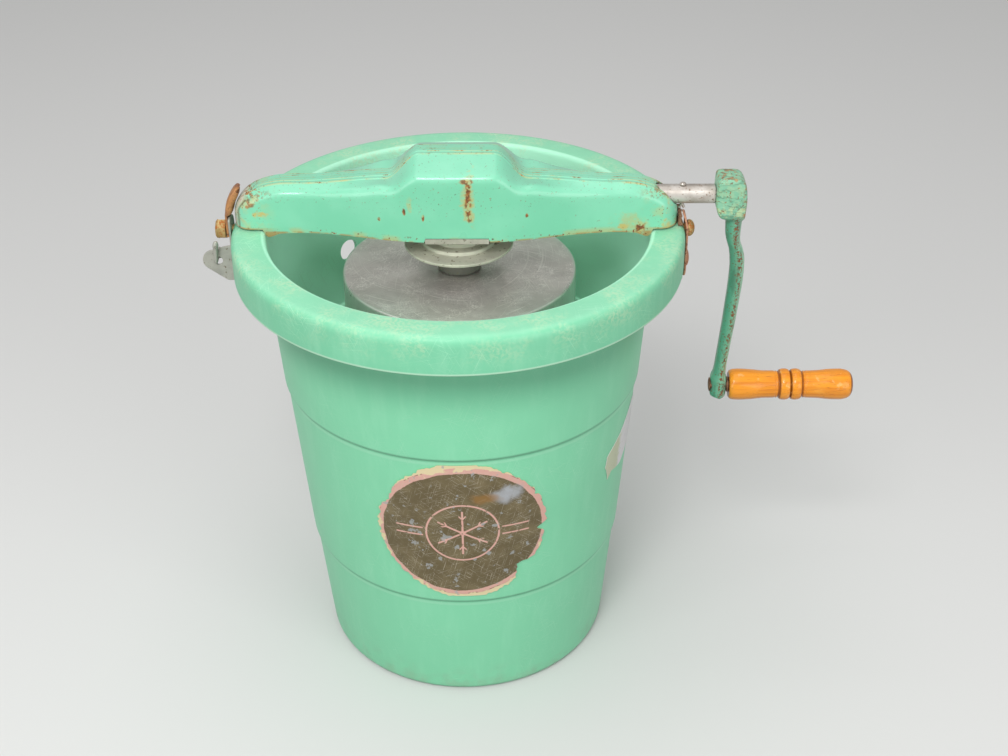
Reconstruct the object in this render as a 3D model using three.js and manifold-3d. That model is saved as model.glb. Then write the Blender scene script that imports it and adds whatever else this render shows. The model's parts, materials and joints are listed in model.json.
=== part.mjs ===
// Hand crank ice cream freezer: a plastic ice tub, a tinned can with its lid and dasher, and a
// gear case across the rim whose crank turns the can one way and the dasher the other.
// Millimetres. Z is up and X runs along the gear case towards the crank. The origin is the point
// where the tub's axis meets the table.
import * as THREE from 'three';
import { mergeVertices } from 'three/addons/utils/BufferGeometryUtils.js';
import Module from 'manifold-3d';

const wasm = await Module();
wasm.setup();

// Clearances
const seat = 0.3; // between two pieces that touch
const running = 0.35; // round a shaft that turns in a bush
const socketFit = 0.4; // each side of a square drive in its socket

// Tub
const rimTop = 324.5;
const rimRadius = 149.5;
const rimDepth = 26.2;
const rimShoulder = 4;
const rimLipRadius = 129.5;
const tubWall = 4;
const tubSides = 48;
const baseRadius = 102.2;
const lowerStepRadius = 110.3;
const lowerStepHeight = 91.1;
const upperStepRadius = 121.6;
const upperStepHeight = 217;
const underRimRadius = 128.9;
const stepLedge = 1.5;
const floorThickness = 8;
const floorRecess = 2.5;
const footRingWidth = 9;
const centreBossRadius = 22;
const pedestalRadius = 24;
const pedestalHeight = 14;
const drainRadius = 8;
const drainHeight = 256.5;
const drainAzimuth = 134;
const earHalfWidth = 12;
const earDrop = 12.3;

// Can, lid and dasher
const lidTop = 291;
const lidRadius = 78.3;
const lidSheet = 1;
const lidSkirt = 27;
const lidFit = 0.4;
const canSheet = 0.9;
const canBottom = 34;
const canChime = 3;
const socketPlateRadius = 22;
const socketPlate = 3.8;
const driveSquare = 19;
const stemRadius = 6.2;
const stemSquare = 8.6;
const pivotRadius = 6;
const studRadius = 5;
const dasherBar = 6;
const dasherDepth = 8;
const dasherHubRadius = 10;
const dasherHubLength = 14;
const bladeWidth = 16;
const bladeThickness = 2.5;
const bladeCount = 3;
const bladeTilt = 35;
const scraperReach = 10;
const scraperThickness = 5;

// Gear case shell
const leftEndInset = 2.5;
const rightEndInset = 5.5;
const armTop = 356.5;
const humpTop = 377;
const humpTopHalf = 27;
const humpFootHalf = 46.5;
const endHalfDepth = 13.8;
const humpHalfDepth = 28.2;
const bulgeStart = 16;
const bulgeInset = 38;
const shellWall = 1.2;
const endCorner = 24;
const endTaper = 37;
const planCorner = 12;
const shoulderRadius = 6;
const crownSlope = 25;
const ribHalfWidth = 7;
const ribStep = 0.9;
const skirtDrop = 1;
const lugDrop = 3;
const lugLead = 13.5;
const lugBack = 7;
const lugFront = 4.1;
const lugSlope = 1.8;
const rimClearance = 1.2;
const notchHalf = 21.5;
const notchHeight = 2.8;
const notchLean = 0.6;

// Gear train
const crankHeight = 344.4;
const pinionTeeth = 12;
const gearTeeth = 24;
const gearPitch = 24;
const addendum = 1.5;
const dedendum = 1.9;
const faceShare = 0.3;
const toothRoot = 1.75;
const toothTip = 0.5;
const framePlate = 3.5;
const frameStrap = 2.2;
const frameHalfLength = 37;
const frameHalfDepth = 24.4;
const legWidth = 14;
const legThickness = 1.6;
const journalRadius = 11.5;
const spigotRadius = 9;
const bushWall = 2.7;
const upperJournal = 9.8;
const clipThickness = 1.4;
const discRadius = 36.3;
const discHeight = 311;
const discThickness = 1.7;
const neckRadius = 14;
const hubRadius = 14.6;

// Crank
const shaftRadius = 6.35;
const shaftSpigot = 4.5;
const shaftSquare = 10;
const pinRadius = 1.5;
const screwRadius = 1.9;
const cotterRadius = 1.3;
const cotterGap = 2.7;
const cotterLeg = 3.8;
const cotterSplay = 25;
const armGap = 18.5;
const bossWidth = 20.4;
const bossDepth = 10;
const armDepth = 7;
const eyeWidth = 11.2;
const eyeOffset = 6.6;
const throwLength = 148.6;
const gripLength = 86.6;
const gripRadius = 11;
const gripWaist = 9.6;
const gripPinRadius = 3.2;
const gripGap = 1.6;
const bracketThickness = 3;
const bracketFit = 0.6; // looser, since the shell is straight between its stations
const bracketInset = 33;

// Fastenings at the rim
const boltHeight = 319.5;
const boltRadius = 3;
const boltGrip = 13;
const boltHead = 6.3;
const boltHeadLength = 6.5;
const strapThickness = 2;
const strapHalfWidth = 9;
const strapNeck = 6.3;
const strapShoulder = 331.2;
const strapBend = 333.8;
const strapFoot = 315.5;
// The strap's outer line above its bend: distance towards the case, and height above the arm's top
const strapCurve = [
  [2, -15.8], [3.8, -9.9], [5.9, -5.5], [9, -1.2], [12.3, 1.5], [15.3, 2.1], [17.7, 0.7], [18.9, -2.3],
  [19.1, -5.5]];
const leverThickness = 1.4;
const leverTop = 330.2;
const leverTopRadius = 7;
const leverHalf = 8;
const leverFoot = 285;
const finTop = 311;
const finReach = 19.5;
const finHole = 2.9;
const wireRadius = 1.2;
const keeperThickness = 1.4;
const keeperHalf = 9.5;
const keeperRise = 12.3;
const keeperTail = 12.7;
const keeperLean = 2.4;
const rivetDrop = 22;
const rivetRadius = 2.4;
const domeRadius = 5.6;
const stopThickness = 2;
const stopHalf = 8;
const stopReach = 2.8;
const stopHeight = 8;
const stopRivetRadius = 1.8;

// Label
const labelCentre = 155.8;
const labelHalf = 58.5;
const labelAzimuth = -88.7;
const labelThickness = 0.5;

// Values worked out from the driving dimensions
const rimBottom = rimTop - rimDepth;
const channelTop = rimTop - tubWall;
const skirtInner = rimRadius - tubWall;
const caseLeft = rimRadius - leftEndInset;
const caseRight = rimRadius - rightEndInset;
const bulgeEnd = caseRight - bulgeInset;
const lugStart = rimLipRadius - lugLead;
const lugInner = rimLipRadius - lugBack;
const lugOuter = rimLipRadius - lugFront;
const cotterPlace = caseRight + cotterGap;
const armFace = rimRadius + armGap;
const bracketPlace = caseRight - bracketInset;
const rivetHeight = boltHeight - rivetDrop;
const keeperTop = boltHeight + keeperRise;
const keeperFoot = rivetHeight - keeperTail;
const canRadius = lidRadius - lidSheet - lidFit;
const canInner = canRadius - canSheet;
const canFloor = canBottom + canSheet;
const coneLength = Math.hypot(gearPitch, gearPitch * pinionTeeth / gearTeeth);
const pinionPitch = gearPitch * pinionTeeth / gearTeeth;
const skirtFoot = rimTop - skirtDrop;
const framePlateBottom = skirtFoot - 1.2;
const framePlateTop = framePlateBottom + framePlate;
const stemBore = stemRadius + 0.6;
const gripHeight = crankHeight - throwLength;
const leverInner = rimRadius + seat;
const leverOuter = leverInner + leverThickness;
const strapInner = leverOuter + seat;
const strapOuter = strapInner + strapThickness;
const boltSeat = strapOuter + seat;
const shankEnd = rimRadius - boltGrip;
const bracketEnd = bracketPlace + bracketThickness;
const screwHeight = discHeight - 6.5;
const keeperInner = rimRadius + seat;
const keeperOuter = keeperInner + keeperThickness;
const stopFace = caseRight + seat + stopThickness;
const stopRivet = rimTop + 0.5 + stopThickness + stopRivetRadius + 1.3;
const finHoleX = -leverOuter - 9;
const finHoleZ = finTop - 11.2;
const wireX = finHoleX - 1.2;
const shaftEnd = armFace + bossWidth - 0.8;

const TURN = Math.PI * 2;
const radians = Math.PI / 180;
const zAxis = new THREE.Vector3(0, 0, 1);

// A closed geometry as a solid that can be joined and cut.
function toSolid(geometry) {
  const bare = geometry.index ? geometry.clone() : geometry;
  bare.deleteAttribute('normal');
  bare.deleteAttribute('uv');
  const merged = mergeVertices(bare, 1e-4);
  const points = merged.attributes.position.array;
  const corner = (i, k) => points[i * 3 + k];
  const kept = [];
  let volume = 0;
  for (let i = 0; i < merged.index.count; i += 3) {
    const [a, b, c] = [0, 1, 2].map((k) => merged.index.getX(i + k));
    if (a === b || b === c || c === a) continue;
    kept.push(a, b, c);
    volume += corner(a, 0) * (corner(b, 1) * corner(c, 2) - corner(b, 2) * corner(c, 1));
    volume += corner(a, 1) * (corner(b, 2) * corner(c, 0) - corner(b, 0) * corner(c, 2));
    volume += corner(a, 2) * (corner(b, 0) * corner(c, 1) - corner(b, 1) * corner(c, 0));
  }
  if (volume < 0) kept.reverse();
  return new wasm.Manifold(new wasm.Mesh({
    numProp: 3,
    vertProperties: new Float32Array(points),
    triVerts: new Uint32Array(kept),
  }));
}

function toGeometry(body) {
  const mesh = body.getMesh();
  const geometry = new THREE.BufferGeometry();
  const points = new Float32Array(mesh.vertProperties);
  geometry.setAttribute('position', new THREE.BufferAttribute(points, 3));
  geometry.setIndex(new THREE.BufferAttribute(new Uint32Array(mesh.triVerts), 1));
  geometry.computeVertexNormals();
  return geometry;
}

function join(...shapes) {
  return toGeometry(shapes.map(toSolid).reduce((whole, next) => whole.add(next)));
}

function cut(shape, ...tools) {
  return toGeometry(tools.map(toSolid).reduce((rest, tool) => rest.subtract(tool), toSolid(shape)));
}

function common(first, second) {
  return toGeometry(toSolid(first).intersect(toSolid(second)));
}

// A profile of [radius, height] points turned about Z. It starts and ends on the axis, or closes.
function turned(profile, segments = 40) {
  const points = profile.map(([radius, height]) => new THREE.Vector2(radius, height));
  return new THREE.LatheGeometry(points, segments).rotateX(Math.PI / 2);
}

function ring(inner, outer, low, high, segments = 24) {
  return turned([[inner, low], [outer, low], [outer, high], [inner, high], [inner, low]], segments);
}

function rod(radius, low, high, segments = 24) {
  const geometry = new THREE.CylinderGeometry(radius, radius, high - low, segments);
  return geometry.rotateX(Math.PI / 2).translate(0, 0, (low + high) / 2);
}

// Z is laid along X, so a height in the shape becomes a place along X.
function alongX(shape, y = 0, z = 0) {
  return shape.rotateY(Math.PI / 2).translate(0, y, z);
}

function alongY(shape, x = 0, z = 0) {
  return shape.rotateX(-Math.PI / 2).translate(x, 0, z);
}

function block(x0, x1, y0, y1, z0, z1) {
  const geometry = new THREE.BoxGeometry(x1 - x0, y1 - y0, z1 - z0);
  return geometry.translate((x0 + x1) / 2, (y0 + y1) / 2, (z0 + z1) / 2);
}

function outline(points) {
  return new THREE.Shape(points.map(([u, v]) => new THREE.Vector2(u, v)));
}

function sheet(shape, thickness, segments = 8) {
  const options = { depth: thickness, bevelEnabled: false, curveSegments: segments };
  return new THREE.ExtrudeGeometry(shape, options);
}

// A plate across X, its outline given in Y and Z.
function plateX(shape, x0, x1, segments = 10) {
  const turn = new THREE.Matrix4().makeBasis(
    new THREE.Vector3(0, 1, 0), new THREE.Vector3(0, 0, 1), new THREE.Vector3(1, 0, 0));
  return sheet(shape, x1 - x0, segments).applyMatrix4(turn).translate(x0, 0, 0);
}

// A plate across Y, its outline given in X and Z.
function plateY(shape, y0, y1) {
  return sheet(shape, y1 - y0).rotateX(Math.PI / 2).translate(0, y1, 0);
}

// A skin over a row of rings with the same number of points, closed at both ends.
function loft(rings) {
  const count = rings[0].length;
  const centre = (points) => points.reduce((sum, p) => sum.add(p), new THREE.Vector3()).divideScalar(count);
  const vertices = [...rings.flat(), centre(rings[0]), centre(rings.at(-1))];
  const first = rings.length * count;
  const faces = [];
  for (let r = 0; r + 1 < rings.length; r += 1) {
    for (let i = 0; i < count; i += 1) {
      const a = r * count + i;
      const b = r * count + (i + 1) % count;
      faces.push(a, b, b + count, a, b + count, a + count);
    }
  }
  for (let i = 0; i < count; i += 1) {
    const next = (i + 1) % count;
    faces.push(first, next, i);
    faces.push(first + 1, first - count + i, first - count + next);
  }
  const geometry = new THREE.BufferGeometry().setFromPoints(vertices);
  geometry.setIndex(faces);
  return geometry;
}

function arc(centreU, centreV, radius, from, to, steps) {
  return Array.from({ length: steps + 1 }, (_, i) => {
    const angle = (from + (to - from) * i / steps) * radians;
    return [centreU + radius * Math.cos(angle), centreV + radius * Math.sin(angle)];
  });
}

// A low domed head standing on a face at place, its shank side towards smaller values.
function dome(radius, height, place, segments = 20) {
  const flat = height * 0.35;
  return turned([[0, place], [radius, place], [radius, place + flat],
    [radius * 0.75, place + height * 0.8], [radius * 0.4, place + height], [0, place + height]], segments);
}

// Materials
function finish(color, roughness, metalness) {
  return new THREE.MeshStandardMaterial({ color, roughness, metalness });
}

const mintPlastic = finish(0x7fc8a8, 0.45, 0);
const mintPaint = finish(0x8ad6b6, 0.3, 0.1);
const tinplate = finish(0x8b8d8b, 0.42, 0.85);
const zinc = finish(0xb0ada2, 0.45, 0.9);
const steel = finish(0xbdbab2, 0.35, 0.95);
const rustySteel = finish(0x8a5238, 0.75, 0.4);
const brass = finish(0xb08a45, 0.4, 0.9);
const bronze = finish(0x9a7445, 0.45, 0.9);
const castIron = finish(0x6d6f6d, 0.6, 0.8);
const wornPaint = finish(0x74b795, 0.5, 0.15);
const varnishedWood = finish(0xd98a2b, 0.25, 0);
const plainWood = finish(0xcaa878, 0.65, 0);
const paper = finish(0x54442f, 0.7, 0);

const freezer = new THREE.Group();

function piece(name, shape, material) {
  const mesh = new THREE.Mesh(toGeometry(toSolid(shape)), material);
  mesh.name = name;
  freezer.add(mesh);
}

// Tub: one moulding whose rim rolls outwards into an open channel, with a lower ear at each end.
function tubOuterRadius(height) {
  if (height > upperStepHeight) {
    const share = (height - upperStepHeight) / (rimBottom - upperStepHeight);
    return upperStepRadius + stepLedge + (underRimRadius - upperStepRadius - stepLedge) * share;
  }
  if (height > lowerStepHeight) {
    const share = (height - lowerStepHeight) / (upperStepHeight - lowerStepHeight);
    return lowerStepRadius + stepLedge + (upperStepRadius - lowerStepRadius - stepLedge) * share;
  }
  return baseRadius + (lowerStepRadius - baseRadius) * height / lowerStepHeight;
}

function tubProfile() {
  const heel = 3;
  const ledge = 1;
  const ringInner = baseRadius - heel - footRingWidth;
  const lipCorner = 3;
  const outer = [
    [0, 0], [centreBossRadius, 0], [centreBossRadius + 2, floorRecess],
    [ringInner - 2, floorRecess], [ringInner, 0], [baseRadius - heel, 0], [tubOuterRadius(heel), heel],
    [lowerStepRadius, lowerStepHeight], [lowerStepRadius + stepLedge, lowerStepHeight + ledge],
    [upperStepRadius, upperStepHeight], [upperStepRadius + stepLedge, upperStepHeight + ledge],
    [underRimRadius, rimBottom], [underRimRadius + 1.2, channelTop], [skirtInner, channelTop],
    [skirtInner, rimBottom], [rimRadius, rimBottom],
  ];
  const top = arc(rimRadius - rimShoulder, rimTop - rimShoulder, rimShoulder, 0, 90, 3);
  const lip = arc(rimLipRadius + 0.5, rimTop - lipCorner, lipCorner, 90, 180, 3);
  const inside = [
    [underRimRadius - tubWall, rimBottom],
    [upperStepRadius + stepLedge - tubWall, upperStepHeight + ledge],
    [upperStepRadius - tubWall, upperStepHeight],
    [lowerStepRadius + stepLedge - tubWall, lowerStepHeight + ledge],
    [lowerStepRadius - tubWall, lowerStepHeight], [baseRadius - tubWall, floorThickness + 3],
    [baseRadius - tubWall - 3, floorThickness], [pedestalRadius + 3, floorThickness],
    [pedestalRadius, floorThickness + pedestalHeight], [0, floorThickness + pedestalHeight],
  ];
  return [...outer, ...top, ...lip, ...inside];
}

function tubShape() {
  const ears = [-1, 1].map((side) => {
    const band = ring(underRimRadius - 1, rimRadius, rimBottom - earDrop, channelTop + 1, tubSides);
    const middle = side * rimRadius;
    return common(band, block(middle - 30, middle + 30, -earHalfWidth, earHalfWidth, 0, rimTop));
  });
  const boltHole = alongX(rod(boltRadius + seat, -rimRadius - 5, -shankEnd + seat), 0, boltHeight);
  const keeperHole = alongX(rod(boltRadius + seat, shankEnd - seat, rimRadius + 5), 0, boltHeight);
  const rivetHole = alongX(rod(rivetRadius + seat, shankEnd - seat, rimRadius + 5, 16), 0, rivetHeight);
  const drain = rod(drainRadius, baseRadius - 10, rimRadius + 10).rotateY(Math.PI / 2);
  drain.rotateZ(drainAzimuth * radians).translate(0, 0, drainHeight);
  const floorTop = floorThickness + pedestalHeight;
  const pivotHole = rod(pivotRadius + seat, floorTop - 9, floorTop + 1);
  const body = join(turned(tubProfile(), tubSides), ...ears);
  return cut(body, boltHole, keeperHole, rivetHole, drain, pivotHole);
}

piece('tub', tubShape(), mintPlastic);

// Pivots: a flanged stud in the tub's pedestal carries the cup under the can, and a smaller stud
// inside the can carries the dasher.
const pedestalTop = floorThickness + pedestalHeight;
const cupFloor = canBottom - 3.2;
const pivotTip = cupFloor - seat;

piece('tub_pivot', turned([
  [0, pedestalTop - 8.7], [pivotRadius, pedestalTop - 8.7], [pivotRadius, pedestalTop + seat],
  [pivotRadius + 5, pedestalTop + seat], [pivotRadius + 5, pedestalTop + 1.5],
  [pivotRadius, pedestalTop + 1.5],
  [pivotRadius, pivotTip - 2.5], [pivotRadius * 0.6, pivotTip - 0.5], [0, pivotTip]], 18), steel);

const cupBottom = canBottom - 9;
piece('can_cup', turned([
  [0, canBottom - seat], [pivotRadius + 9, canBottom - seat], [pivotRadius + 9, canBottom - 1.5],
  [pivotRadius + 3, canBottom - 2.5], [pivotRadius + 3, cupBottom], [pivotRadius + running, cupBottom],
  [pivotRadius + running, cupFloor - 2], [pivotRadius * 0.6 + running, cupFloor], [0, cupFloor]],
18), steel);

const studTip = canFloor + 15;
piece('can_stud', turned([
  [0, canFloor + seat], [studRadius + 7, canFloor + seat], [studRadius + 7, canFloor + 1.7],
  [studRadius, canFloor + 2.2], [studRadius, studTip - 2], [studRadius * 0.6, studTip - 0.4], [0, studTip]],
18), steel);

// Can: thin tinned sheet with a recessed bottom.
const canTop = lidTop - lidSheet - lidFit;
piece('can', turned([
  [0, canBottom], [canInner, canBottom],
  [canInner, canBottom - canChime], [canRadius, canBottom - canChime],
  [canRadius, canTop], [canInner, canTop], [canInner, canFloor], [0, canFloor]], 48), tinplate);

function square(side, low, high) {
  return block(-side / 2, side / 2, -side / 2, side / 2, low, high);
}

function lidShape() {
  const inner = lidRadius - lidSheet;
  const skirtFootHeight = lidTop - lidSkirt;
  const cap = turned([
    [0, lidTop - lidSheet], [inner, lidTop - lidSheet],
    [inner, skirtFootHeight], [lidRadius, skirtFootHeight],
    [lidRadius, lidTop - 1.2], [lidRadius - 1.2, lidTop], [0, lidTop]], 48);
  return cut(cap, square(driveSquare + 2 * socketFit, lidTop - 5, lidTop + 5));
}

piece('can_lid', lidShape(), tinplate);

const socketTop = lidTop - lidSheet - seat;
piece('lid_socket', cut(rod(socketPlateRadius, socketTop - socketPlate, socketTop, 40),
  square(driveSquare + 2 * socketFit, lidTop - 20, lidTop + 5)), zinc);

// Dasher: a cast frame that turns in the can, with a stem up through the lid and wooden scrapers.
const dasherFoot = canFloor + 7;
const dasherHead = socketTop - socketPlate - 10;
const scraperEdge = canInner - 0.6;
const barOuter = scraperEdge - scraperReach;
const barInner = barOuter - dasherBar;

function dasherShape() {
  const barLow = dasherFoot + 4;
  const barHigh = dasherHead - 6;
  const half = dasherDepth / 2;
  const crossBar = (low) => block(-barOuter, barOuter, -half, half, low, low + dasherBar + 2);
  const sideBar = (side) => {
    const edges = [side * barInner, side * barOuter].sort((a, b) => a - b);
    return block(edges[0], edges[1], -half, half, barLow, barHigh);
  };
  const blades = Array.from({ length: bladeCount }, (_, i) => {
    const tilt = (i % 2 ? -1 : 1) * bladeTilt * radians;
    const height = barLow + (barHigh - barLow) * (i + 1) / (bladeCount + 1);
    const reach = barInner + 2;
    const blade = block(-reach, reach, -bladeWidth / 2, bladeWidth / 2,
      -bladeThickness / 2, bladeThickness / 2);
    return blade.rotateX(tilt).translate(0, 0, height);
  });
  const frame = join(
    rod(dasherHubRadius, dasherFoot, dasherFoot + dasherHubLength),
    rod(dasherHubRadius, dasherHead - dasherHubLength, dasherHead),
    crossBar(barLow), crossBar(barHigh - dasherBar - 2), sideBar(-1), sideBar(1), ...blades);
  const studHole = rod(studRadius + running, dasherFoot - 1, studTip + seat);
  const stemHole = rod(stemRadius + seat, dasherHead - dasherHubLength + 3, dasherHead + 1);
  return cut(frame, studHole, stemHole);
}

piece('dasher_frame', dasherShape(), castIron);

const upperPlateBottom = crankHeight + 16.6;
const upperPlateTop = upperPlateBottom + frameStrap;
const stemTop = upperPlateTop + 1.2;
piece('dasher_stem', join(
  rod(stemRadius, dasherHead - dasherHubLength + 3 + seat, crankHeight + 5.6),
  square(stemSquare, crankHeight + 5, stemTop)), tinplate);

for (const [name, side] of [['scraper_left', -1], ['scraper_right', 1]]) {
  const edges = [side * (barOuter + seat), side * scraperEdge].sort((a, b) => a - b);
  const half = scraperThickness / 2;
  piece(name, block(edges[0], edges[1], -half, half, dasherFoot + 14, dasherHead - 16), plainWood);
}

// Bevel gears: the pitch cones meet at the crank's axis over the tub's axis. A gear is built with
// that point at the origin and its own axis on Z, below it. Its back closes to a disc of the web's
// radius at the web's height.
function bevelWheel(count, radius, rise, phase, webRadius, webHeight) {
  const normal = [rise / coneLength, radius / coneLength];
  const corners = [
    [-dedendum, -toothRoot], [addendum, -toothTip], [addendum, toothTip], [-dedendum, toothRoot]];
  const inEachTooth = (place) => Array.from({ length: count }, (_, i) => i).flatMap((i) => (
    corners.map((corner) => place(corner).applyAxisAngle(zAxis, (i + phase) * TURN / count))));
  const toothedRing = (scale) => inEachTooth(([h, w]) => (
    new THREE.Vector3(radius + h * normal[0], w, h * normal[1] - rise).multiplyScalar(scale)));
  const webRing = inEachTooth(([, w]) => new THREE.Vector3(webRadius, w * webRadius / radius, webHeight));
  return loft([toothedRing(1 - faceShare), toothedRing(1), webRing]);
}

const spigotFoot = discHeight - 14.7;
const webRadius = gearPitch - 2;

function canGearShape() {
  const webBottom = framePlateTop + 0.5 - crankHeight;
  const journalFoot = framePlateBottom - seat - crankHeight;
  const hub = turned([
    [0, webBottom + 1], [0, spigotFoot - crankHeight], [spigotRadius, spigotFoot - crankHeight],
    [spigotRadius, journalFoot], [journalRadius, journalFoot],
    [journalRadius, webBottom + 1], [0, webBottom + 1]], 24);
  const wheel = bevelWheel(gearTeeth, gearPitch, pinionPitch, 0.5, webRadius, webBottom);
  return cut(join(hub, wheel), rod(stemBore, spigotFoot - crankHeight - 1, 0)).translate(0, 0, crankHeight);
}

piece('can_gear', canGearShape(), castIron);

function dasherGearShape() {
  const webTop = upperPlateBottom - 0.4 - crankHeight;
  const groove = upperJournal - 0.8;
  const clipLow = upperPlateTop + seat - 0.1 - crankHeight;
  const clipHigh = clipLow + clipThickness + 0.2;
  const wheel = bevelWheel(gearTeeth, gearPitch, pinionPitch, 0.5, webRadius, -webTop).rotateX(Math.PI);
  const hub = turned([
    [0, webTop - 1], [upperJournal, webTop - 1], [upperJournal, clipLow],
    [groove, clipLow], [groove, clipHigh],
    [upperJournal, clipHigh], [upperJournal, clipHigh + 1.2], [0, clipHigh + 1.2]], 24);
  return cut(join(wheel, hub), square(stemSquare + 2 * seat, -1, 40)).translate(0, 0, crankHeight);
}

piece('dasher_gear', dasherGearShape(), castIron);

const pinionHubEnd = frameHalfLength - 5.3;
const pinionPinPlace = pinionHubEnd - 2.6;
const pinionHub = 8.6;

function pinionShape() {
  const neck = -gearPitch - 2.5;
  const wheel = bevelWheel(pinionTeeth, pinionPitch, gearPitch, 0, pinionHub, neck);
  const hub = rod(pinionHub, -pinionHubEnd, neck + 1);
  const bore = rod(shaftSpigot + seat, -pinionHubEnd - 1, -8);
  const pinHole = alongX(rod(pinRadius + seat, -20, 20, 12)).translate(0, 0, -pinionPinPlace);
  return cut(join(wheel, hub), bore, pinHole).rotateY(-Math.PI / 2).translate(0, 0, crankHeight);
}

piece('bevel_pinion', pinionShape(), castIron);
piece('pinion_pin', rod(pinRadius, crankHeight - pinionHub + 0.2, crankHeight + pinionHub - 0.2, 16)
  .translate(pinionPinPlace, 0, 0), steel);

// Gear frame: a plate under the gears whose tabs fill the notches of the shell, two legs, a plate
// over the gears and an upright that carries the crank shaft.
function frameShape() {
  const legInner = gearPitch + 1;
  const legOuter = legInner + legThickness;
  const legLow = -3;
  const base = block(-frameHalfLength, frameHalfLength, -frameHalfDepth, frameHalfDepth,
    framePlateBottom, framePlateTop);
  const tabHalf = notchHalf - notchLean - seat;
  const tab = block(-tabHalf, tabHalf, -humpHalfDepth, humpHalfDepth, framePlateBottom, framePlateTop);
  const legs = [-1, 1].map((side) => {
    const edges = [side * legInner, side * legOuter].sort((a, b) => a - b);
    return block(legLow, legLow + legWidth, edges[0], edges[1], framePlateTop - 1, upperPlateTop);
  });
  const bridge = block(legLow, legLow + legWidth, -legOuter, legOuter, upperPlateBottom, upperPlateTop);
  const eye = rod(upperJournal + bushWall + 5, upperPlateBottom, upperPlateTop);
  const upright = block(frameHalfLength - framePlate, frameHalfLength, -14, 14,
    framePlateTop - 1, crankHeight + 13);
  return cut(join(base, tab, ...legs, bridge, eye, upright),
    rod(journalRadius + running + bushWall + seat, framePlateBottom - 1, framePlateTop + 1),
    rod(upperJournal + running + bushWall - 0.4 + seat, upperPlateBottom - 1, upperPlateTop + 1),
    alongX(rod(shaftRadius + running + bushWall + seat, 30, 40), 0, crankHeight));
}

piece('gear_frame', frameShape(), zinc);
piece('can_gear_bush', ring(journalRadius + running, journalRadius + running + bushWall,
  framePlateBottom, framePlateTop + 0.1), bronze);
piece('dasher_gear_bush', ring(upperJournal + running, upperJournal + running + bushWall - 0.4,
  upperPlateBottom, upperPlateTop), bronze);

function shaftBush(low, high) {
  return alongX(ring(shaftRadius + running, shaftRadius + running + bushWall, low, high), 0, crankHeight);
}

piece('inner_bush', shaftBush(frameHalfLength - framePlate - 0.3, frameHalfLength + 0.6), bronze);

function clipShape() {
  const low = upperPlateTop + seat;
  const open = block(0, 30, -3, 3, low - 1, low + clipThickness + 1);
  return cut(ring(upperJournal - 0.5, upperJournal + 4, low, low + clipThickness), open);
}

piece('gear_clip', clipShape(), steel);

// Drive disc: a stepped disc on the lower gear's spigot, with a square end that enters the lid.
function discShape() {
  const hubFoot = lidTop + 0.6;
  const under = discHeight - discThickness;
  const squareFoot = lidTop - lidSheet - 3.1;
  const stepOne = discRadius * 0.68;
  const stepTwo = discRadius * 0.51;
  const top = framePlateBottom - 0.4;
  const outer = turned([
    [0, hubFoot], [hubRadius, hubFoot], [hubRadius, under], [discRadius, under],
    [discRadius, discHeight], [stepOne, discHeight + 1.2], [stepOne, discHeight + 3],
    [stepTwo, discHeight + 3.6], [stepTwo, discHeight + 6], [neckRadius, discHeight + 6.6],
    [neckRadius, top], [0, top]], 36);
  return cut(join(outer, square(driveSquare, squareFoot, hubFoot + 1)),
    rod(spigotRadius + seat, spigotFoot - seat, top + 1),
    rod(stemBore, squareFoot - 1, top + 1),
    alongY(rod(screwRadius + seat, spigotRadius, hubRadius + 2, 16), 0, screwHeight));
}

piece('drive_disc', discShape(), zinc);
piece('drive_screw', alongY(rod(screwRadius, spigotRadius + 0.4, hubRadius + 0.4, 16), 0, screwHeight),
  steel);

// Gear case shell: a long pressing, deeper and higher over the gears. The inset gives its inside.
function fade(distance, from, to) {
  const share = Math.min(Math.max((distance - from) / (to - from), 0), 1);
  return 0.5 + 0.5 * Math.cos(Math.PI * share);
}

// How far a quarter ellipse has fallen at a distance past its start.
function cornerDrop(distance, start, length, height) {
  const share = Math.min(Math.max((distance - start) / length, 0), 1);
  return height * (1 - Math.sqrt(1 - share * share));
}

function caseSection(x, inset, foot) {
  const away = Math.abs(x);
  const end = (x < 0 ? caseLeft : caseRight) - inset;
  const rounded = cornerDrop(away, end - (endTaper - inset), endTaper - inset, endCorner - inset);
  const top = armTop + (humpTop - armTop) * fade(away, humpTopHalf, humpFootHalf) - inset - rounded;
  const drawnIn = cornerDrop(away, end - (planCorner - inset), planCorner - inset, planCorner - inset);
  const bulge = (humpHalfDepth - endHalfDepth) * fade(away, bulgeStart, bulgeEnd);
  const depth = endHalfDepth + bulge - inset - drawnIn;
  const shrink = Math.min(1, depth / (endHalfDepth - inset));
  const rib = ribHalfWidth * shrink;
  const radius = (shoulderRadius - inset) * shrink;
  const lean = (90 - crownSlope) * radians;
  const bend = depth - radius + radius * Math.cos(lean);
  const centre = top - ribStep - (bend - rib) * Math.tan(crownSlope * radians) - radius * Math.sin(lean);
  const shoulder = [0, 1, 2].map((i) => {
    const angle = lean * i / 2;
    return [depth - radius + radius * Math.cos(angle), centre + radius * Math.sin(angle)];
  });
  const half = [[depth, foot], ...shoulder, [rib + 0.3 * shrink, top - ribStep], [rib, top], [0, top]];
  const other = half.slice(0, -1).toReversed().map(([y, z]) => [-y, z]);
  return [...half, ...other].map(([y, z]) => new THREE.Vector3(x, y, z));
}

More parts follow.
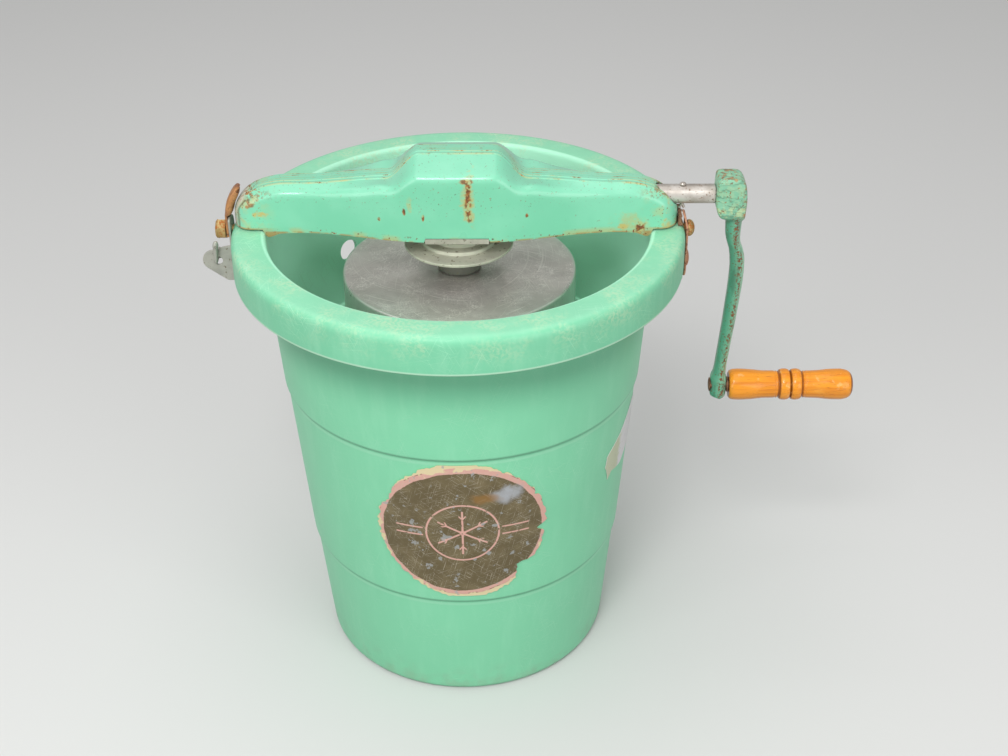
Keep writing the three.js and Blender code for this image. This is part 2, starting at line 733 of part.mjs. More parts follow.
function caseStations(inset) {
  const side = (end) => {
    const start = end - endTaper;
    const stretches = [[0, humpTopHalf, 2], [humpTopHalf, humpFootHalf, 5], [humpFootHalf, start, 3]];
    const straight = stretches.flatMap(([from, to, count]) => (
      Array.from({ length: count }, (_, i) => from + (to - from) * i / count)));
    const corner = [0, 22, 42, 60, 76, 89.5].map((angle) => (
      start + (endTaper - inset) * Math.sin(angle * radians)));
    return [...straight, ...corner];
  };
  return [...side(caseLeft).slice(1).toReversed().map((x) => -x), ...side(caseRight)];
}

function caseBlank(inset, foot) {
  return loft(caseStations(inset).map((x) => caseSection(x, inset, foot)));
}

// The shell's lower edge: over the rim at the ends, a lug just inside the lip, a notch each side
// of the gears.
function skirtCut() {
  const overRim = rimTop + rimClearance;
  const past = caseLeft + 20;
  const side = [
    [notchHalf - notchLean, skirtFoot + notchHeight], [notchHalf, skirtFoot], [lugStart, skirtFoot],
    [lugInner, skirtFoot - lugDrop], [lugOuter, skirtFoot - lugDrop],
    [lugOuter + lugSlope, overRim], [past, overRim],
  ];
  const left = side.map(([x, z]) => [-x, z]).toReversed();
  const floor = [[past, skirtFoot - 60], [-past, skirtFoot - 60]];
  return plateY(outline([...left, ...side, ...floor]), -60, 60);
}

function shellShape(side) {
  const wholeShell = cut(caseBlank(0, skirtFoot - 8), caseBlank(shellWall, skirtFoot - 20), skirtCut());
  const otherHalf = block(-200, 200, -side * 50 - 50 + side * 0.15, -side * 50 + 50 + side * 0.15, 280, 400);
  const shaftHole = alongX(rod(shaftRadius + 1, caseRight - endTaper, caseRight + 10), 0, crankHeight);
  const rivetHole = alongX(rod(stopRivetRadius + seat, caseRight - 10, caseRight + 10, 12), 0, stopRivet);
  return cut(wholeShell, otherHalf, shaftHole, rivetHole);
}

piece('shell_front', shellShape(-1), mintPaint);
piece('shell_rear', shellShape(1), mintPaint);

// Brackets across the inside of the case near its ends. The right one holds the shaft's bush.
function bracketShape(low) {
  const far = low < 0 ? low : low + bracketThickness;
  const face = caseSection(far, shellWall + bracketFit, skirtFoot + 1).map((point) => [point.y, point.z]);
  return plateX(outline(face.toReversed()), low, low + bracketThickness);
}

piece('right_bracket', cut(bracketShape(bracketPlace),
  alongX(rod(shaftRadius + running + bushWall + seat, bracketPlace - 5, bracketEnd + 5),
    0, crankHeight)), zinc);
piece('outer_bush', shaftBush(bracketPlace - 1.5, bracketPlace + bracketThickness + 1.5), bronze);
piece('left_bracket', bracketShape(-bracketEnd), zinc);

// Left strap: from its tip on the case's left end, over and down outside the rim, forked over the
// latch bolt. A line moved sideways by the thickness gives its inner face.
function movedLine(line, distance) {
  return line.map(([x, z], i) => {
    const [x0, z0] = line[Math.max(i - 1, 0)];
    const [x1, z1] = line[Math.min(i + 1, line.length - 1)];
    const length = Math.hypot(x1 - x0, z1 - z0);
    return [x + distance * (z1 - z0) / length, z - distance * (x1 - x0) / length];
  });
}

function strapShape() {
  const outer = [
    [-strapOuter, strapFoot], [-strapOuter, strapShoulder], [-strapOuter, strapBend],
    ...strapCurve.map(([inward, up]) => [-strapOuter + inward, armTop + up])];
  const path = [...outer, ...movedLine(outer, strapThickness).toReversed()];
  const strip = plateY(outline(path), -strapHalfWidth, strapHalfWidth);
  const slotHalf = boltRadius + 0.6;
  const from = -strapOuter - 10;
  const to = -strapInner + 10;
  const slot = join(block(from, to, -slotHalf, slotHalf, strapFoot - 5, boltHeight),
    alongX(rod(slotHalf, from, to), 0, boltHeight));
  const narrowing = [-1, 1].map((side) => {
    const edges = [side * strapNeck, side * strapHalfWidth * 2].sort((a, b) => a - b);
    return block(from, to, edges[0], edges[1], strapFoot - 5, strapShoulder);
  });
  return cut(strip, slot, ...narrowing);
}

piece('left_strap', strapShape(), rustySteel);

// Latch: a brass hex bolt in the tub's ear, a lever plate with an outward fin under its head, and a
// wire cotter hung in the fin's hole.
piece('latch_bolt', alongX(join(
  turned([[0, 0], [boltHead, 0], [boltHead, boltHeadLength - 1.2], [boltHead - 1.6, boltHeadLength],
    [0, boltHeadLength]], 6).translate(0, 0, boltSeat),
  rod(boltRadius, shankEnd, boltSeat + 1)).rotateX(Math.PI), 0, boltHeight), brass);

function leverShape() {
  const sideways = new THREE.Shape();
  sideways.moveTo(-leverHalf, leverFoot);
  sideways.lineTo(leverHalf, leverFoot + 3);
  sideways.lineTo(leverTopRadius, boltHeight);
  sideways.absarc(0, boltHeight, leverTopRadius, 0, 0.6 * Math.PI, false);
  sideways.lineTo(-leverHalf + 3.4, leverTop);
  sideways.lineTo(-leverHalf, leverTop);
  sideways.closePath();
  const plate = plateX(sideways, -leverOuter, -leverInner);
  const tip = -leverOuter - finReach;
  const noseRadius = 7.5;
  const fin = new THREE.Shape();
  fin.moveTo(-leverInner, leverFoot);
  fin.lineTo(-leverInner, finTop);
  fin.lineTo(-leverOuter - 6, finTop - 1.2);
  fin.absarc(tip + noseRadius, finTop - 3.5 - noseRadius, noseRadius, 0.4 * Math.PI, 1.25 * Math.PI, false);
  fin.lineTo(-leverOuter - 4, leverFoot);
  fin.closePath();
  const blade = plateY(fin, -leverHalf, -leverHalf + leverThickness);
  const hole = alongY(rod(finHole, -leverHalf - 5, -leverHalf + 5, 20), finHoleX, finHoleZ);
  const boltHole = alongX(rod(boltRadius + seat, -leverOuter - 10, -leverInner + 10), 0, boltHeight);
  return cut(join(plate, blade), boltHole, hole);
}

piece('latch_lever', leverShape(), zinc);

function tube(points, radius) {
  const places = points.map(([x, y, z]) => new THREE.Vector3(x, y, z));
  const extrudePath = new THREE.CatmullRomCurve3(places, false, 'centripetal');
  const section = new THREE.Shape().absarc(0, 0, radius, 0, TURN, false);
  const options = { steps: 10, bevelEnabled: false, extrudePath, curveSegments: 4 };
  return new THREE.ExtrudeGeometry(section, options);
}

function cotterShape() {
  const front = -leverHalf - 2.6;
  const wire = tube([
    [wireX, -leverHalf + 8, finHoleZ], [wireX, -leverHalf + 2, finHoleZ], [wireX, front + 1.2, finHoleZ],
    [wireX, front, finHoleZ + 2.2], [wireX + 0.6, front, finHoleZ + 9], [wireX + 1.2, front, finHoleZ + 15]],
  wireRadius);
  const tongue = new THREE.SphereGeometry(2.3, 8, 6).scale(0.8, 0.55, 1.7);
  tongue.translate(wireX + 1, front, finHoleZ + 13);
  const eye = new THREE.TorusGeometry(3.2, 1, 5, 12).rotateY(Math.PI / 2);
  return join(wire, tongue, eye.translate(wireX, -leverHalf + 10.6, finHoleZ));
}

piece('latch_cotter', cotterShape(), steel);

// Keeper on the right: a round-ended plate bolted and riveted to the rim, bent in towards the case
// above the rim, and the stop on the case that stands against it.
function keeperShape() {
  const shape = new THREE.Shape();
  shape.absarc(0, keeperTop - keeperHalf, keeperHalf, 0, Math.PI, false);
  shape.absarc(0, keeperFoot + keeperHalf, keeperHalf, Math.PI, TURN, false);
  shape.closePath();
  const bend = rimTop - 2;
  const strip = plateY(outline([
    [keeperInner, keeperFoot - 1], [keeperOuter, keeperFoot - 1], [keeperOuter, bend],
    [keeperOuter - keeperLean, keeperTop + 1], [keeperInner - keeperLean, keeperTop + 1],
    [keeperInner, bend]]),
  -keeperHalf - 1, keeperHalf + 1);
  return cut(common(strip, plateX(shape, keeperInner - 10, keeperOuter + 10)),
    alongX(rod(boltRadius + seat, keeperInner - 10, keeperOuter + 10), 0, boltHeight),
    alongX(rod(rivetRadius + seat, keeperInner - 10, keeperOuter + 10, 16), 0, rivetHeight));
}

piece('keeper_plate', keeperShape(), rustySteel);
piece('keeper_bolt', alongX(join(dome(domeRadius, 4.7, keeperOuter + seat),
  rod(boltRadius, shankEnd, keeperOuter + 1)), 0, boltHeight), brass);
piece('keeper_rivet', alongX(join(dome(domeRadius, 2.1, keeperOuter + seat),
  rod(rivetRadius, shankEnd, keeperOuter + 1, 16)), 0, rivetHeight), rustySteel);

function stopShape() {
  const face = caseRight + seat;
  const low = rimTop + 0.5;
  const upright = block(face, face + stopThickness, -stopHalf, stopHalf, low, low + stopHeight);
  const foot = block(face, face + stopReach, -stopHalf, stopHalf, low, low + stopThickness);
  const hole = alongX(rod(stopRivetRadius + seat, face - 10, face + 10, 12), 0, stopRivet);
  return cut(join(upright, foot), hole);
}

piece('end_stop', stopShape(), rustySteel);
piece('stop_rivet', alongX(join(rod(stopRivetRadius, caseRight - shellWall - 1, stopFace + 0.6, 12),
  rod(stopRivetRadius + 1, stopFace + seat, stopFace + 1.1, 12),
  rod(stopRivetRadius + 1, caseRight - shellWall - 1.7, caseRight - shellWall - seat, 12)),
0, stopRivet), steel);

// Crank: a stepped shaft with its cotter, the cast arm on its squared end, and the grip.
function shaftShape() {
  const shoulder = armFace - seat;
  const body = turned([
    [0, stemRadius + 7.8], [shaftSpigot, stemRadius + 7.8], [shaftSpigot, pinionHubEnd + seat],
    [shaftRadius, pinionHubEnd + seat], [shaftRadius, shoulder], [0, shoulder]], 24);
  const shape = join(body, square(shaftSquare, shoulder - 1, shaftEnd));
  return cut(alongX(shape, 0, crankHeight),
    rod(pinRadius + seat, crankHeight - 20, crankHeight + 20, 16).translate(pinionPinPlace, 0, 0),
    rod(cotterRadius + seat, crankHeight - 20, crankHeight + 20, 16).translate(cotterPlace, 0, 0));
}

piece('crank_shaft', shaftShape(), steel);

function shaftCotterShape() {
  const legs = [-1, 1].map((side) => rod(cotterRadius * 0.7, -cotterLeg, 0.4, 10)
    .rotateY(-side * cotterSplay * radians).translate(0, 0, -shaftRadius - seat));
  const pin = rod(cotterRadius, -shaftRadius - seat - 0.6, shaftRadius + seat + 0.5, 12);
  const shape = join(pin, dome(cotterRadius + 0.9, 1.4, shaftRadius + seat, 12), ...legs);
  return shape.translate(cotterPlace, 0, crankHeight);
}

piece('shaft_cotter', shaftCotterShape(), steel);

// The arm from its top down: [height above the crank's axis, left side, right side, half depth],
// with the sides measured from the boss's inner face. Each station is a chamfered rectangle.
const armStations = [
  [14, 2.8, 13.5, 7.6], [12.4, 1, 16.4, 9], [7.5, 0.2, bossWidth - 1, bossDepth],
  [-3, 0, bossWidth, bossDepth], [-11, 1.6, bossWidth - 0.4, bossDepth],
  [-15, 3.8, bossWidth - 0.9, bossDepth - 1], [-16.6, 8, 19.4, armDepth + 0.6],
  [-29.5, 8.9, 18.6, armDepth], [-35, 10.2, 19.2, armDepth], [-41, 12.1, 21.4, armDepth],
  [-48, 13.1, 22.8, armDepth], [-56, 13.6, 23.1, armDepth], [-89, 12.1, 20.9, armDepth],
  [-120, 9.8, 17.9, armDepth], [-138, 8.1, 16.6, armDepth],
  [-143.5, eyeOffset, eyeOffset + eyeWidth, armDepth + 1],
  [-153, eyeOffset, eyeOffset + eyeWidth, armDepth + 1], [-157, 8.3, 16.6, armDepth - 1.2],
];

function armShape() {
  const rings = armStations.map(([up, left, right, depth]) => {
    const x = armFace + (left + right) / 2;
    const half = (right - left) / 2;
    const chamfer = Math.min(half, depth) * 0.42;
    const corners = [
      [half, depth - chamfer], [half - chamfer, depth], [-half + chamfer, depth], [-half, depth - chamfer],
      [-half, -depth + chamfer], [-half + chamfer, -depth], [half - chamfer, -depth],
      [half, -depth + chamfer]];
    return corners.map(([u, v]) => new THREE.Vector3(x + u, v, crankHeight + up));
  });
  const squareHole = alongX(square(shaftSquare + 2 * seat, armFace - 10, armFace + 40), 0, crankHeight);
  const pinHole = alongX(rod(gripPinRadius + seat, armFace - 10, armFace + 40, 24), 0, gripHeight);
  return cut(loft(rings), squareHole, pinHole);
}

piece('crank_arm', armShape(), wornPaint);

const eyeMiddle = armFace + eyeOffset + eyeWidth / 2;
const eyeHalf = eyeWidth / 2;
const gripStart = eyeMiddle + eyeHalf + gripGap;
const gripEnd = gripStart + gripLength;

piece('grip_pin', alongX(join(
  dome(gripPinRadius + 1.8, 0.8, seat, 16).rotateX(Math.PI).translate(0, 0, eyeMiddle - eyeHalf),
  rod(gripPinRadius, eyeMiddle - eyeHalf - 1, gripEnd - 4, 16),
  rod(gripPinRadius + 2.2, eyeMiddle + eyeHalf + seat, gripStart - seat, 16),
  rod(gripPinRadius + 2, gripEnd - 4.7, gripEnd - 2.7, 16)), 0, gripHeight), steel);

// Grip: a turned handle with two beads between three grooves at its middle.
function gripShape() {
  const bore = gripPinRadius + running;
  const counterbore = gripPinRadius + 2.4;
  const at = (share) => gripStart + gripLength * share;
  const grooves = [0.405, 0.497, 0.589];
  const middle = grooves.flatMap((share, i) => {
    const groove = [at(share), gripWaist - 0.5];
    return i < 2 ? [groove, [at(share + 0.023), gripRadius - 0.35], [at(share + 0.046), gripRadius],
      [at(share + 0.069), gripRadius - 0.35]] : [groove];
  });
  const outer = [
    [at(0), gripRadius - 1.6], [at(0.015), gripRadius - 0.5], [at(0.07), gripRadius],
    [at(0.17), gripRadius - 0.35], [at(0.29), gripWaist + 0.1], ...middle, [at(0.63), gripWaist],
    [at(0.71), gripWaist + 0.2], [at(0.82), gripRadius - 0.3], [at(0.9), gripRadius - 0.1],
    [at(0.955), gripRadius - 0.9], [at(0.985), gripRadius - 2.4], [at(1), gripRadius - 4.4]];
  const profile = [
    [bore, at(0)], ...outer.map(([place, radius]) => [radius, place]),
    [counterbore, at(1)], [counterbore, gripEnd - 5], [bore, gripEnd - 5], [bore, at(0)]];
  return alongX(turned(profile, 20), 0, gripHeight);
}

piece('grip', gripShape(), varnishedWood);

// Label: a thin round of paper that follows the tub's wall between its two ledges.
function labelShape() {
  const rings = 4;
  const spokes = 28;
  const wallGap = seat + 0.3;
  const middleRadius = tubOuterRadius(labelCentre);
  const point = (share, angle, lift) => {
    const height = labelCentre + labelHalf * share * Math.sin(angle);
    const azimuth = labelAzimuth * radians + labelHalf * share * Math.cos(angle) / middleRadius;
    const radius = tubOuterRadius(height) + lift;
    return new THREE.Vector3(radius * Math.cos(azimuth), radius * Math.sin(azimuth), height);
  };
  const layer = (lift) => {
    const points = [point(0, 0, lift)];
    for (let r = 1; r <= rings; r += 1) {
      for (let i = 0; i < spokes; i += 1) points.push(point(r / rings, i * TURN / spokes, lift));
    }
    return points;
  };
  const count = 1 + rings * spokes;
  const index = (r, i, side) => side * count + 1 + (r - 1) * spokes + i % spokes;
  const faces = [];
  for (const side of [0, 1]) {
    const face = (a, b, c) => faces.push(...(side ? [a, b, c] : [a, c, b]));
    for (let i = 0; i < spokes; i += 1) face(side * count, index(1, i, side), index(1, i + 1, side));
    for (let r = 1; r < rings; r += 1) {
      for (let i = 0; i < spokes; i += 1) {
        face(index(r, i, side), index(r + 1, i, side), index(r + 1, i + 1, side));
        face(index(r, i, side), index(r + 1, i + 1, side), index(r, i + 1, side));
      }
    }
  }
  for (let i = 0; i < spokes; i += 1) {
    faces.push(index(rings, i, 0), index(rings, i + 1, 0), index(rings, i + 1, 1));
    faces.push(index(rings, i, 0), index(rings, i + 1, 1), index(rings, i, 1));
  }
  const points = [...layer(wallGap), ...layer(wallGap + labelThickness)];
  const geometry = new THREE.BufferGeometry().setFromPoints(points);
  geometry.setIndex(faces);
  return geometry;
}

piece('front_label', labelShape(), paper);

export default freezer;
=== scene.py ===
"""Looks of a hand crank ice cream freezer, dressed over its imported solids.

Each class builds one sub-assembly. Sizes are millimetres in the part's own frame, where Z is up and
X runs along the gear case towards the crank. Meshes are metres.
"""

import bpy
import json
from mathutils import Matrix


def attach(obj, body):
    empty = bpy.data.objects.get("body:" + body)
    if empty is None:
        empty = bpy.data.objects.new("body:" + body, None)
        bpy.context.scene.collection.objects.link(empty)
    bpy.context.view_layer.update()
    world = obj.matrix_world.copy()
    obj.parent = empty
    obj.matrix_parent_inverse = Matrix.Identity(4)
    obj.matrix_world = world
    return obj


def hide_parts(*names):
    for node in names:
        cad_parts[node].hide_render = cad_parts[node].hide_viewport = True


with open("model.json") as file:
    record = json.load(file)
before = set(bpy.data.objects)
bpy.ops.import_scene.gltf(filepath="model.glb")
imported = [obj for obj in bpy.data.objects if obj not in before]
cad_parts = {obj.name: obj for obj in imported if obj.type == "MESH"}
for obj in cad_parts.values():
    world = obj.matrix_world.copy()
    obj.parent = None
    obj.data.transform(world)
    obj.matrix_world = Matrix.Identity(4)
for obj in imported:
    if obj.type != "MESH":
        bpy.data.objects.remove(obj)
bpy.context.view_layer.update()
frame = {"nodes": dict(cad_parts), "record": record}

import json
import logging
from dataclasses import dataclass
from enum import Enum
from typing import Any, Callable, Sequence

import bmesh
import bpy
import numpy as np
from mathutils import Matrix

Array = np.ndarray
Colour = tuple[float, float, float]
Row = tuple[float, ...]
Table = tuple[Row, ...]
Place = Callable[[Array, float], Array]
MM = 0.001
CIRCLE = 2 * np.pi
log = logging.getLogger("freezer")


# Curves and profiles
def divided(line: Array, spacing: float) -> Array:
    """Adds points to a line until no stretch is longer than the spacing.

    Args:
        line: Points in order, one a row.
        spacing: Longest stretch that is left undivided.

    Returns:
        The line with each long stretch cut into equal parts.
    """
    gaps = np.linalg.norm(np.diff(line, axis=0), axis=1)
    counts = np.maximum(1, np.ceil(gaps / spacing).astype(int))
    index = np.repeat(np.arange(len(gaps)), counts)
    first = np.repeat(np.cumsum(counts) - counts, counts)
    share = (np.arange(counts.sum()) - first) / counts[index]
    return np.vstack([line[index] + (line[index + 1] - line[index]) * share[:, None], line[-1:]])


def rounded(corners: Sequence[Sequence[float]], spacing: float = 6.0, steps: int = 6) -> Array:
    """A line whose corners are rounded.

    A corner (u, v, r) becomes the quadratic curve that leaves the line r before the corner and joins
    it again r after, with the corner as its control point.

    Args:
        corners: Rows of u, v and r.
        spacing: Longest stretch left undivided.
        steps: Points on each corner's curve.

    Returns:
        Points of the line, one a row.
    """
    table = np.array(corners, float)
    point, reach = table[:, :2], table[:, 2:]

    def towards(other: Array) -> Array:
        """The point at the corner's reach on the way to another.

        Args:
            other: The point before or after each corner.

        Returns:
            Where each corner's curve starts or ends.
        """
        gap = other - point
        length = np.maximum(np.linalg.norm(gap, axis=1, keepdims=True), 1e-9)
        return point + gap * np.minimum(reach / length, 0.48)

    start = towards(np.vstack([point[:1], point[:-1]]))[:, None]
    end = towards(np.vstack([point[1:], point[-1:]]))[:, None]
    t = np.linspace(0, 1, steps)[None, :, None]
    line = ((1 - t) ** 2 * start + 2 * t * (1 - t) * point[:, None] + t ** 2 * end).reshape(-1, 2)
    apart = np.linalg.norm(np.diff(line, axis=0), axis=1) > 1e-6
    return divided(line[np.r_[True, apart]], spacing)


def eased(places: Array, stations: Array, values: Array) -> Array:
    """A smooth curve through known values that never overshoots them.

    Each stretch is a cubic whose end slopes are the harmonic means of the neighbouring slopes, or
    zero where these turn round.

    Args:
        places: Where the curve is wanted.
        stations: Where it is known, in rising order.
        values: The known values, one row or number a station.

    Returns:
        The values at the places.
    """
    known = np.array(values, float).reshape(len(stations), -1)
    step = np.diff(stations)[:, None]
    rise = np.diff(known, axis=0) / step
    product = rise[:-1] * rise[1:]
    same = product > 0
    middle = np.where(same, 2 * product / np.where(same, rise[:-1] + rise[1:], 1), 0)
    slope = np.vstack([rise[:1], middle, rise[-1:]])
    i = np.clip(np.searchsorted(stations, places, side="right") - 1, 0, len(step) - 1)
    t = ((places - np.array(stations)[i]) / step[i, 0])[:, None]
    cubic = (known[i] * (1 + 2 * t) * (1 - t) ** 2 + known[i + 1] * t ** 2 * (3 - 2 * t)
             + slope[i] * step[i] * t * (1 - t) ** 2 + slope[i + 1] * step[i] * t ** 2 * (t - 1))
    return cubic if np.ndim(values) > 1 else cubic[:, 0]


def fade(distance: Array, start: float, end: float) -> Array:
    """One before the start, zero after the end, and half a cosine wave between them."""
    return 0.5 + 0.5 * np.cos(np.pi * np.clip((distance - start) / (end - start), 0, 1))


def quarter_drop(distance: Array, start: float, length: float, height: float) -> Array:
    """How far a quarter ellipse of a length and height has fallen at a distance past its start."""
    share = np.clip((distance - start) / length, 0, 1)
    return height * (1 - np.sqrt(1 - share ** 2))


def ragged(angle: Array, seed: int, waves: int = 40, first: int = 2) -> Array:
    """A torn edge between about -1 and 1: sine waves round the turn that weaken as they get finer.

    Args:
        angle: Places round the turn.
        seed: Picks the waves' sizes and starts.
        waves: One more than the finest wave's count round the turn.
        first: The coarsest wave's count round the turn.

    Returns:
        The edge at each place.
    """
    rng = np.random.default_rng(seed)
    order = np.arange(first, waves)
    size = rng.normal(size=len(order)) / order ** 0.8
    return (size * np.sin(np.multiply.outer(angle, order) + rng.uniform(0, 7, len(order)))).sum(-1) / 1.6


def superellipse(sides: int, power: Array) -> tuple[Array, Array]:
    """Points of |u|^n + |v|^n = 1 round the turn.

    Args:
        sides: Stretches round the turn.
        power: 2 / n for each row of points.

    Returns:
        The numbers u and v, rows by places round the turn, where the last place is the first again.
    """
    angle = np.linspace(0, CIRCLE, sides + 1)
    cosine, sine = np.cos(angle).round(9), np.sin(angle).round(9)
    return np.sign(cosine) * np.abs(cosine) ** power, np.sign(sine) * np.abs(sine) ** power


# Surfaces
class Axis(Enum):
    """The way a turned piece's axis points."""

    UP = "up"
    ALONG_CASE = "along the gear case"


@dataclass
class Patch:
    """A grid of points in millimetres, and where each lies on the piece laid out flat."""

    points: Array
    flat: Array | None = None


def joined(*numbers: Array | float) -> Array:
    """Numbers brought to one shape and joined as the last axis."""
    return np.stack(np.broadcast_arrays(*numbers), -1)


def capped(grid: Array) -> Array:
    """A grid with a row at the middle of its first row before it, and one like that after its last."""
    low, high = (np.broadcast_to(row.mean(0), row.shape)[None] for row in (grid[0], grid[-1]))
    return np.concatenate([low, grid, high])


def turned(profile: Array, sides: int = 96, axis: Axis = Axis.UP, height: float = 0.0,
           flats: int = 4, flatness: Array | float = 0.0) -> list[Patch]:
    """A profile turned about an axis through the middle plane.

    With a flatness of 1 the circle becomes a regular polygon, whose distance at angle a is
    r / cos(a from the middle of its flat).

    Args:
        profile: Rows of radius and place along the axis, from the axis back to it, or closed.
        sides: Facets round the turn.
        axis: The way that the axis points.
        height: How high the axis lies.
        flats: Sides of the polygon.
        flatness: Share of the polygon at each row of the profile.

    Returns:
        One patch whose flat place is the arc at the largest radius, and the way along the profile.
    """
    angle = np.linspace(np.pi / 2, np.pi / 2 + CIRCLE, sides + 1)
    part = CIRCLE / flats
    polygon = 1 / np.cos((angle + part / 2) % part - part / 2)
    share = np.broadcast_to(np.asarray(flatness, float), len(profile))[:, None]
    radius = profile[:, :1] * (1 - share + share * polygon)
    first, second = radius * np.cos(angle), radius * np.sin(angle)
    along = profile[:, 1:]
    points = joined(first, second, along) if axis is Axis.UP else joined(along, first, second)
    way = np.r_[0, np.cumsum(np.linalg.norm(np.diff(profile, axis=0), axis=1))][:, None]
    return [Patch(points + np.array([0, 0, height]), joined(angle * profile[:, 0].max(), way))]


def rod(radius: float, low: float, high: float, sides: int, height: float = 0.0) -> list[Patch]:
    """A plain cylinder along the case between two places."""
    corners = [(0, low, 0), (radius, low, 0), (radius, high, 0), (0, high, 0)]
    return turned(rounded(corners), sides, Axis.ALONG_CASE, height)


def slab(front: Array, back: Array, flat: Array | None = None, closed: bool = False) -> list[Patch]:
    """A sheet with a thickness: two faces, and strips that join their borders.

    Args:
        front: Grid of the outer face.
        back: Grid of the inner face, of the same shape.
        flat: Flat place of each point.
        closed: True where the grid's columns go right round.

    Returns:
        The patches of a closed skin.
    """
    rows = [(front[i], back[i]) for i in (0, -1) if np.ptp(front[i], axis=0).max() > 1e-6]
    ends = [] if closed else [(front[:, i], back[:, i]) for i in (0, -1)]
    return [Patch(front, flat), Patch(back, flat), *(Patch(np.stack(pair)) for pair in rows + ends)]


def plate(outline: Array, place: Place, thickness: float, hole: Row | None = None,
          rings: int = 14) -> list[Patch]:
    """A plate whose grid runs from a middle point, or the rim of a round hole, out to its outline.

    Args:
        outline: Closed row of points (u, v), star-shaped about the middle.
        place: Puts flat points at a depth from 0 to the thickness into space.
        thickness: Of the plate.
        hole: Centre and radius of a hole.
        rings: Rows of the grid.

    Returns:
        The patches of a closed skin.
    """
    closed_line = np.vstack([outline, outline[:1]])
    middle = np.array(hole[:2]) if hole else (outline.min(0) + outline.max(0)) / 2
    away = closed_line - middle
    start = away / np.linalg.norm(away, axis=1, keepdims=True) * (hole[2] if hole else 0)
    t = np.linspace(0, 1, rings)[:, None, None]
    flat = middle + start + (away - start) * t
    return slab(place(flat, thickness), place(flat, 0.0), flat, closed=True)


def across(x: float, way: int) -> Place:
    """Puts flat points (y, z) on an upright plane across the case, with depth along X or against it."""
    return lambda flat, depth: joined(x + way * depth, flat[..., 0], flat[..., 1])


def swept(path: Array, radius: Array, sides: int = 20) -> list[Patch]:
    """A round bar along a path in a plane across the case, closed to a point at both ends.

    At each point the ring is radius (cos a X + sin a N), with N square to the path and to X.

    Args:
        path: Points of the centre line.
        radius: Radius at each point, near zero at the ends.
        sides: Facets round it.

    Returns:
        One patch.
    """
    along = np.gradient(path, axis=0)
    sideways = np.array([1.0, 0, 0])
    other = np.cross(along / np.linalg.norm(along, axis=1, keepdims=True), sideways)
    angle = np.linspace(0, CIRCLE, sides + 1)[None, :, None]
    ring = np.cos(angle) * sideways + np.sin(angle) * other[:, None]
    return [Patch(path[:, None] + ring * radius[:, None, None])]


def swung(patches: Sequence[Patch], degrees: float) -> list[Patch]:
    """Turns patches about the upright axis.

    Args:
        patches: The patches.
        degrees: How far, anticlockwise seen from above.

    Returns:
        The turned patches, with their flat places as they were.
    """
    c, s = np.cos(np.radians(degrees)), np.sin(np.radians(degrees))
    turn = np.array([[c, s, 0], [-s, c, 0], [0, 0, 1]])
    return [Patch(patch.points @ turn, patch.flat) for patch in patches]


def block(low: Sequence[float], high: Sequence[float]) -> list[Patch]:
    """A box between two corners, as a slab whose faces look along X."""
    y, z = np.meshgrid(np.linspace(low[1], high[1], 3), np.linspace(low[2], high[2], 3))
    return slab(joined(high[0], y, z), joined(low[0], y, z))


def make_mesh(name: str, patches: Sequence[Patch]) -> bpy.types.Object:
    """Joins patches to one closed, outward-facing mesh in metres, with its flat places as a UV map.

    Args:
        name: Name of the object.
        patches: Grids whose borders meet.

    Returns:
        The new object at the origin.
    """
    points, flats, faces, start = [], [], [], 0
    for patch in patches:
        rows, columns = patch.points.shape[:2]
        index = start + np.arange(rows * columns).reshape(rows, columns)
        around = [index[:-1, :-1], index[1:, :-1], index[1:, 1:], index[:-1, 1:]]
        faces.append(np.stack(around, -1).reshape(-1, 4))
        points.append(patch.points.reshape(-1, 3))
        flat = patch.points[..., :2] if patch.flat is None else patch.flat
        flats.append(np.broadcast_to(flat, (rows, columns, 2)).reshape(-1, 2))
        start += rows * columns
    corners = np.vstack(faces)
    mesh = bpy.data.meshes.new(name)
    mesh.from_pydata((np.vstack(points) * MM).tolist(), [], corners.tolist())
    layer = mesh.uv_layers.new(name="flat")
    layer.data.foreach_set("uv", (np.vstack(flats) * MM)[corners.ravel()].ravel())
    shape = bmesh.new()
    shape.from_mesh(mesh)
    bmesh.ops.remove_doubles(shape, verts=shape.verts, dist=2e-6)
    bmesh.ops.dissolve_degenerate(shape, edges=shape.edges, dist=1e-6)
    bmesh.ops.recalc_face_normals(shape, faces=shape.faces)
    shape.to_mesh(mesh)
    shape.free()
    piece = bpy.data.objects.new(name, mesh)
    bpy.context.scene.collection.objects.link(piece)
    return piece


def settle(piece: bpy.types.Object) -> None:
    """Applies a piece's modifiers to its mesh.

    Args:
        piece: The piece.
    """
    graph = bpy.context.evaluated_depsgraph_get()
    finished = bpy.data.meshes.new_from_object(piece.evaluated_get(graph))
    piece.modifiers.clear()
    piece.data = finished


def carve(piece: bpy.types.Object, tools: Sequence[Sequence[Patch]]) -> None:
    """Cuts the closed shapes of the tools out of a piece.

    Args:
        piece: The piece.
        tools: Patches of each shape to cut away.
    """
    cutters = [make_mesh("cutter", patches) for patches in tools]
    for cutter in cutters:
        modifier = piece.modifiers.new("cut", "BOOLEAN")
        modifier.solver, modifier.operation, modifier.object = "EXACT", "DIFFERENCE", cutter
    settle(piece)
    for cutter in cutters:
        bpy.data.objects.remove(cutter)


def soften(piece: bpy.types.Object, width: float) -> None:
    """Rounds a piece's sharp edges.

    Args:
        piece: The piece.
        width: Of the rounding, in millimetres.
    """
    modifier = piece.modifiers.new("edge", "BEVEL")
    modifier.width, modifier.segments, modifier.limit_method = width * MM, 3, "ANGLE"
    modifier.angle_limit = np.radians(40)
    settle(piece)


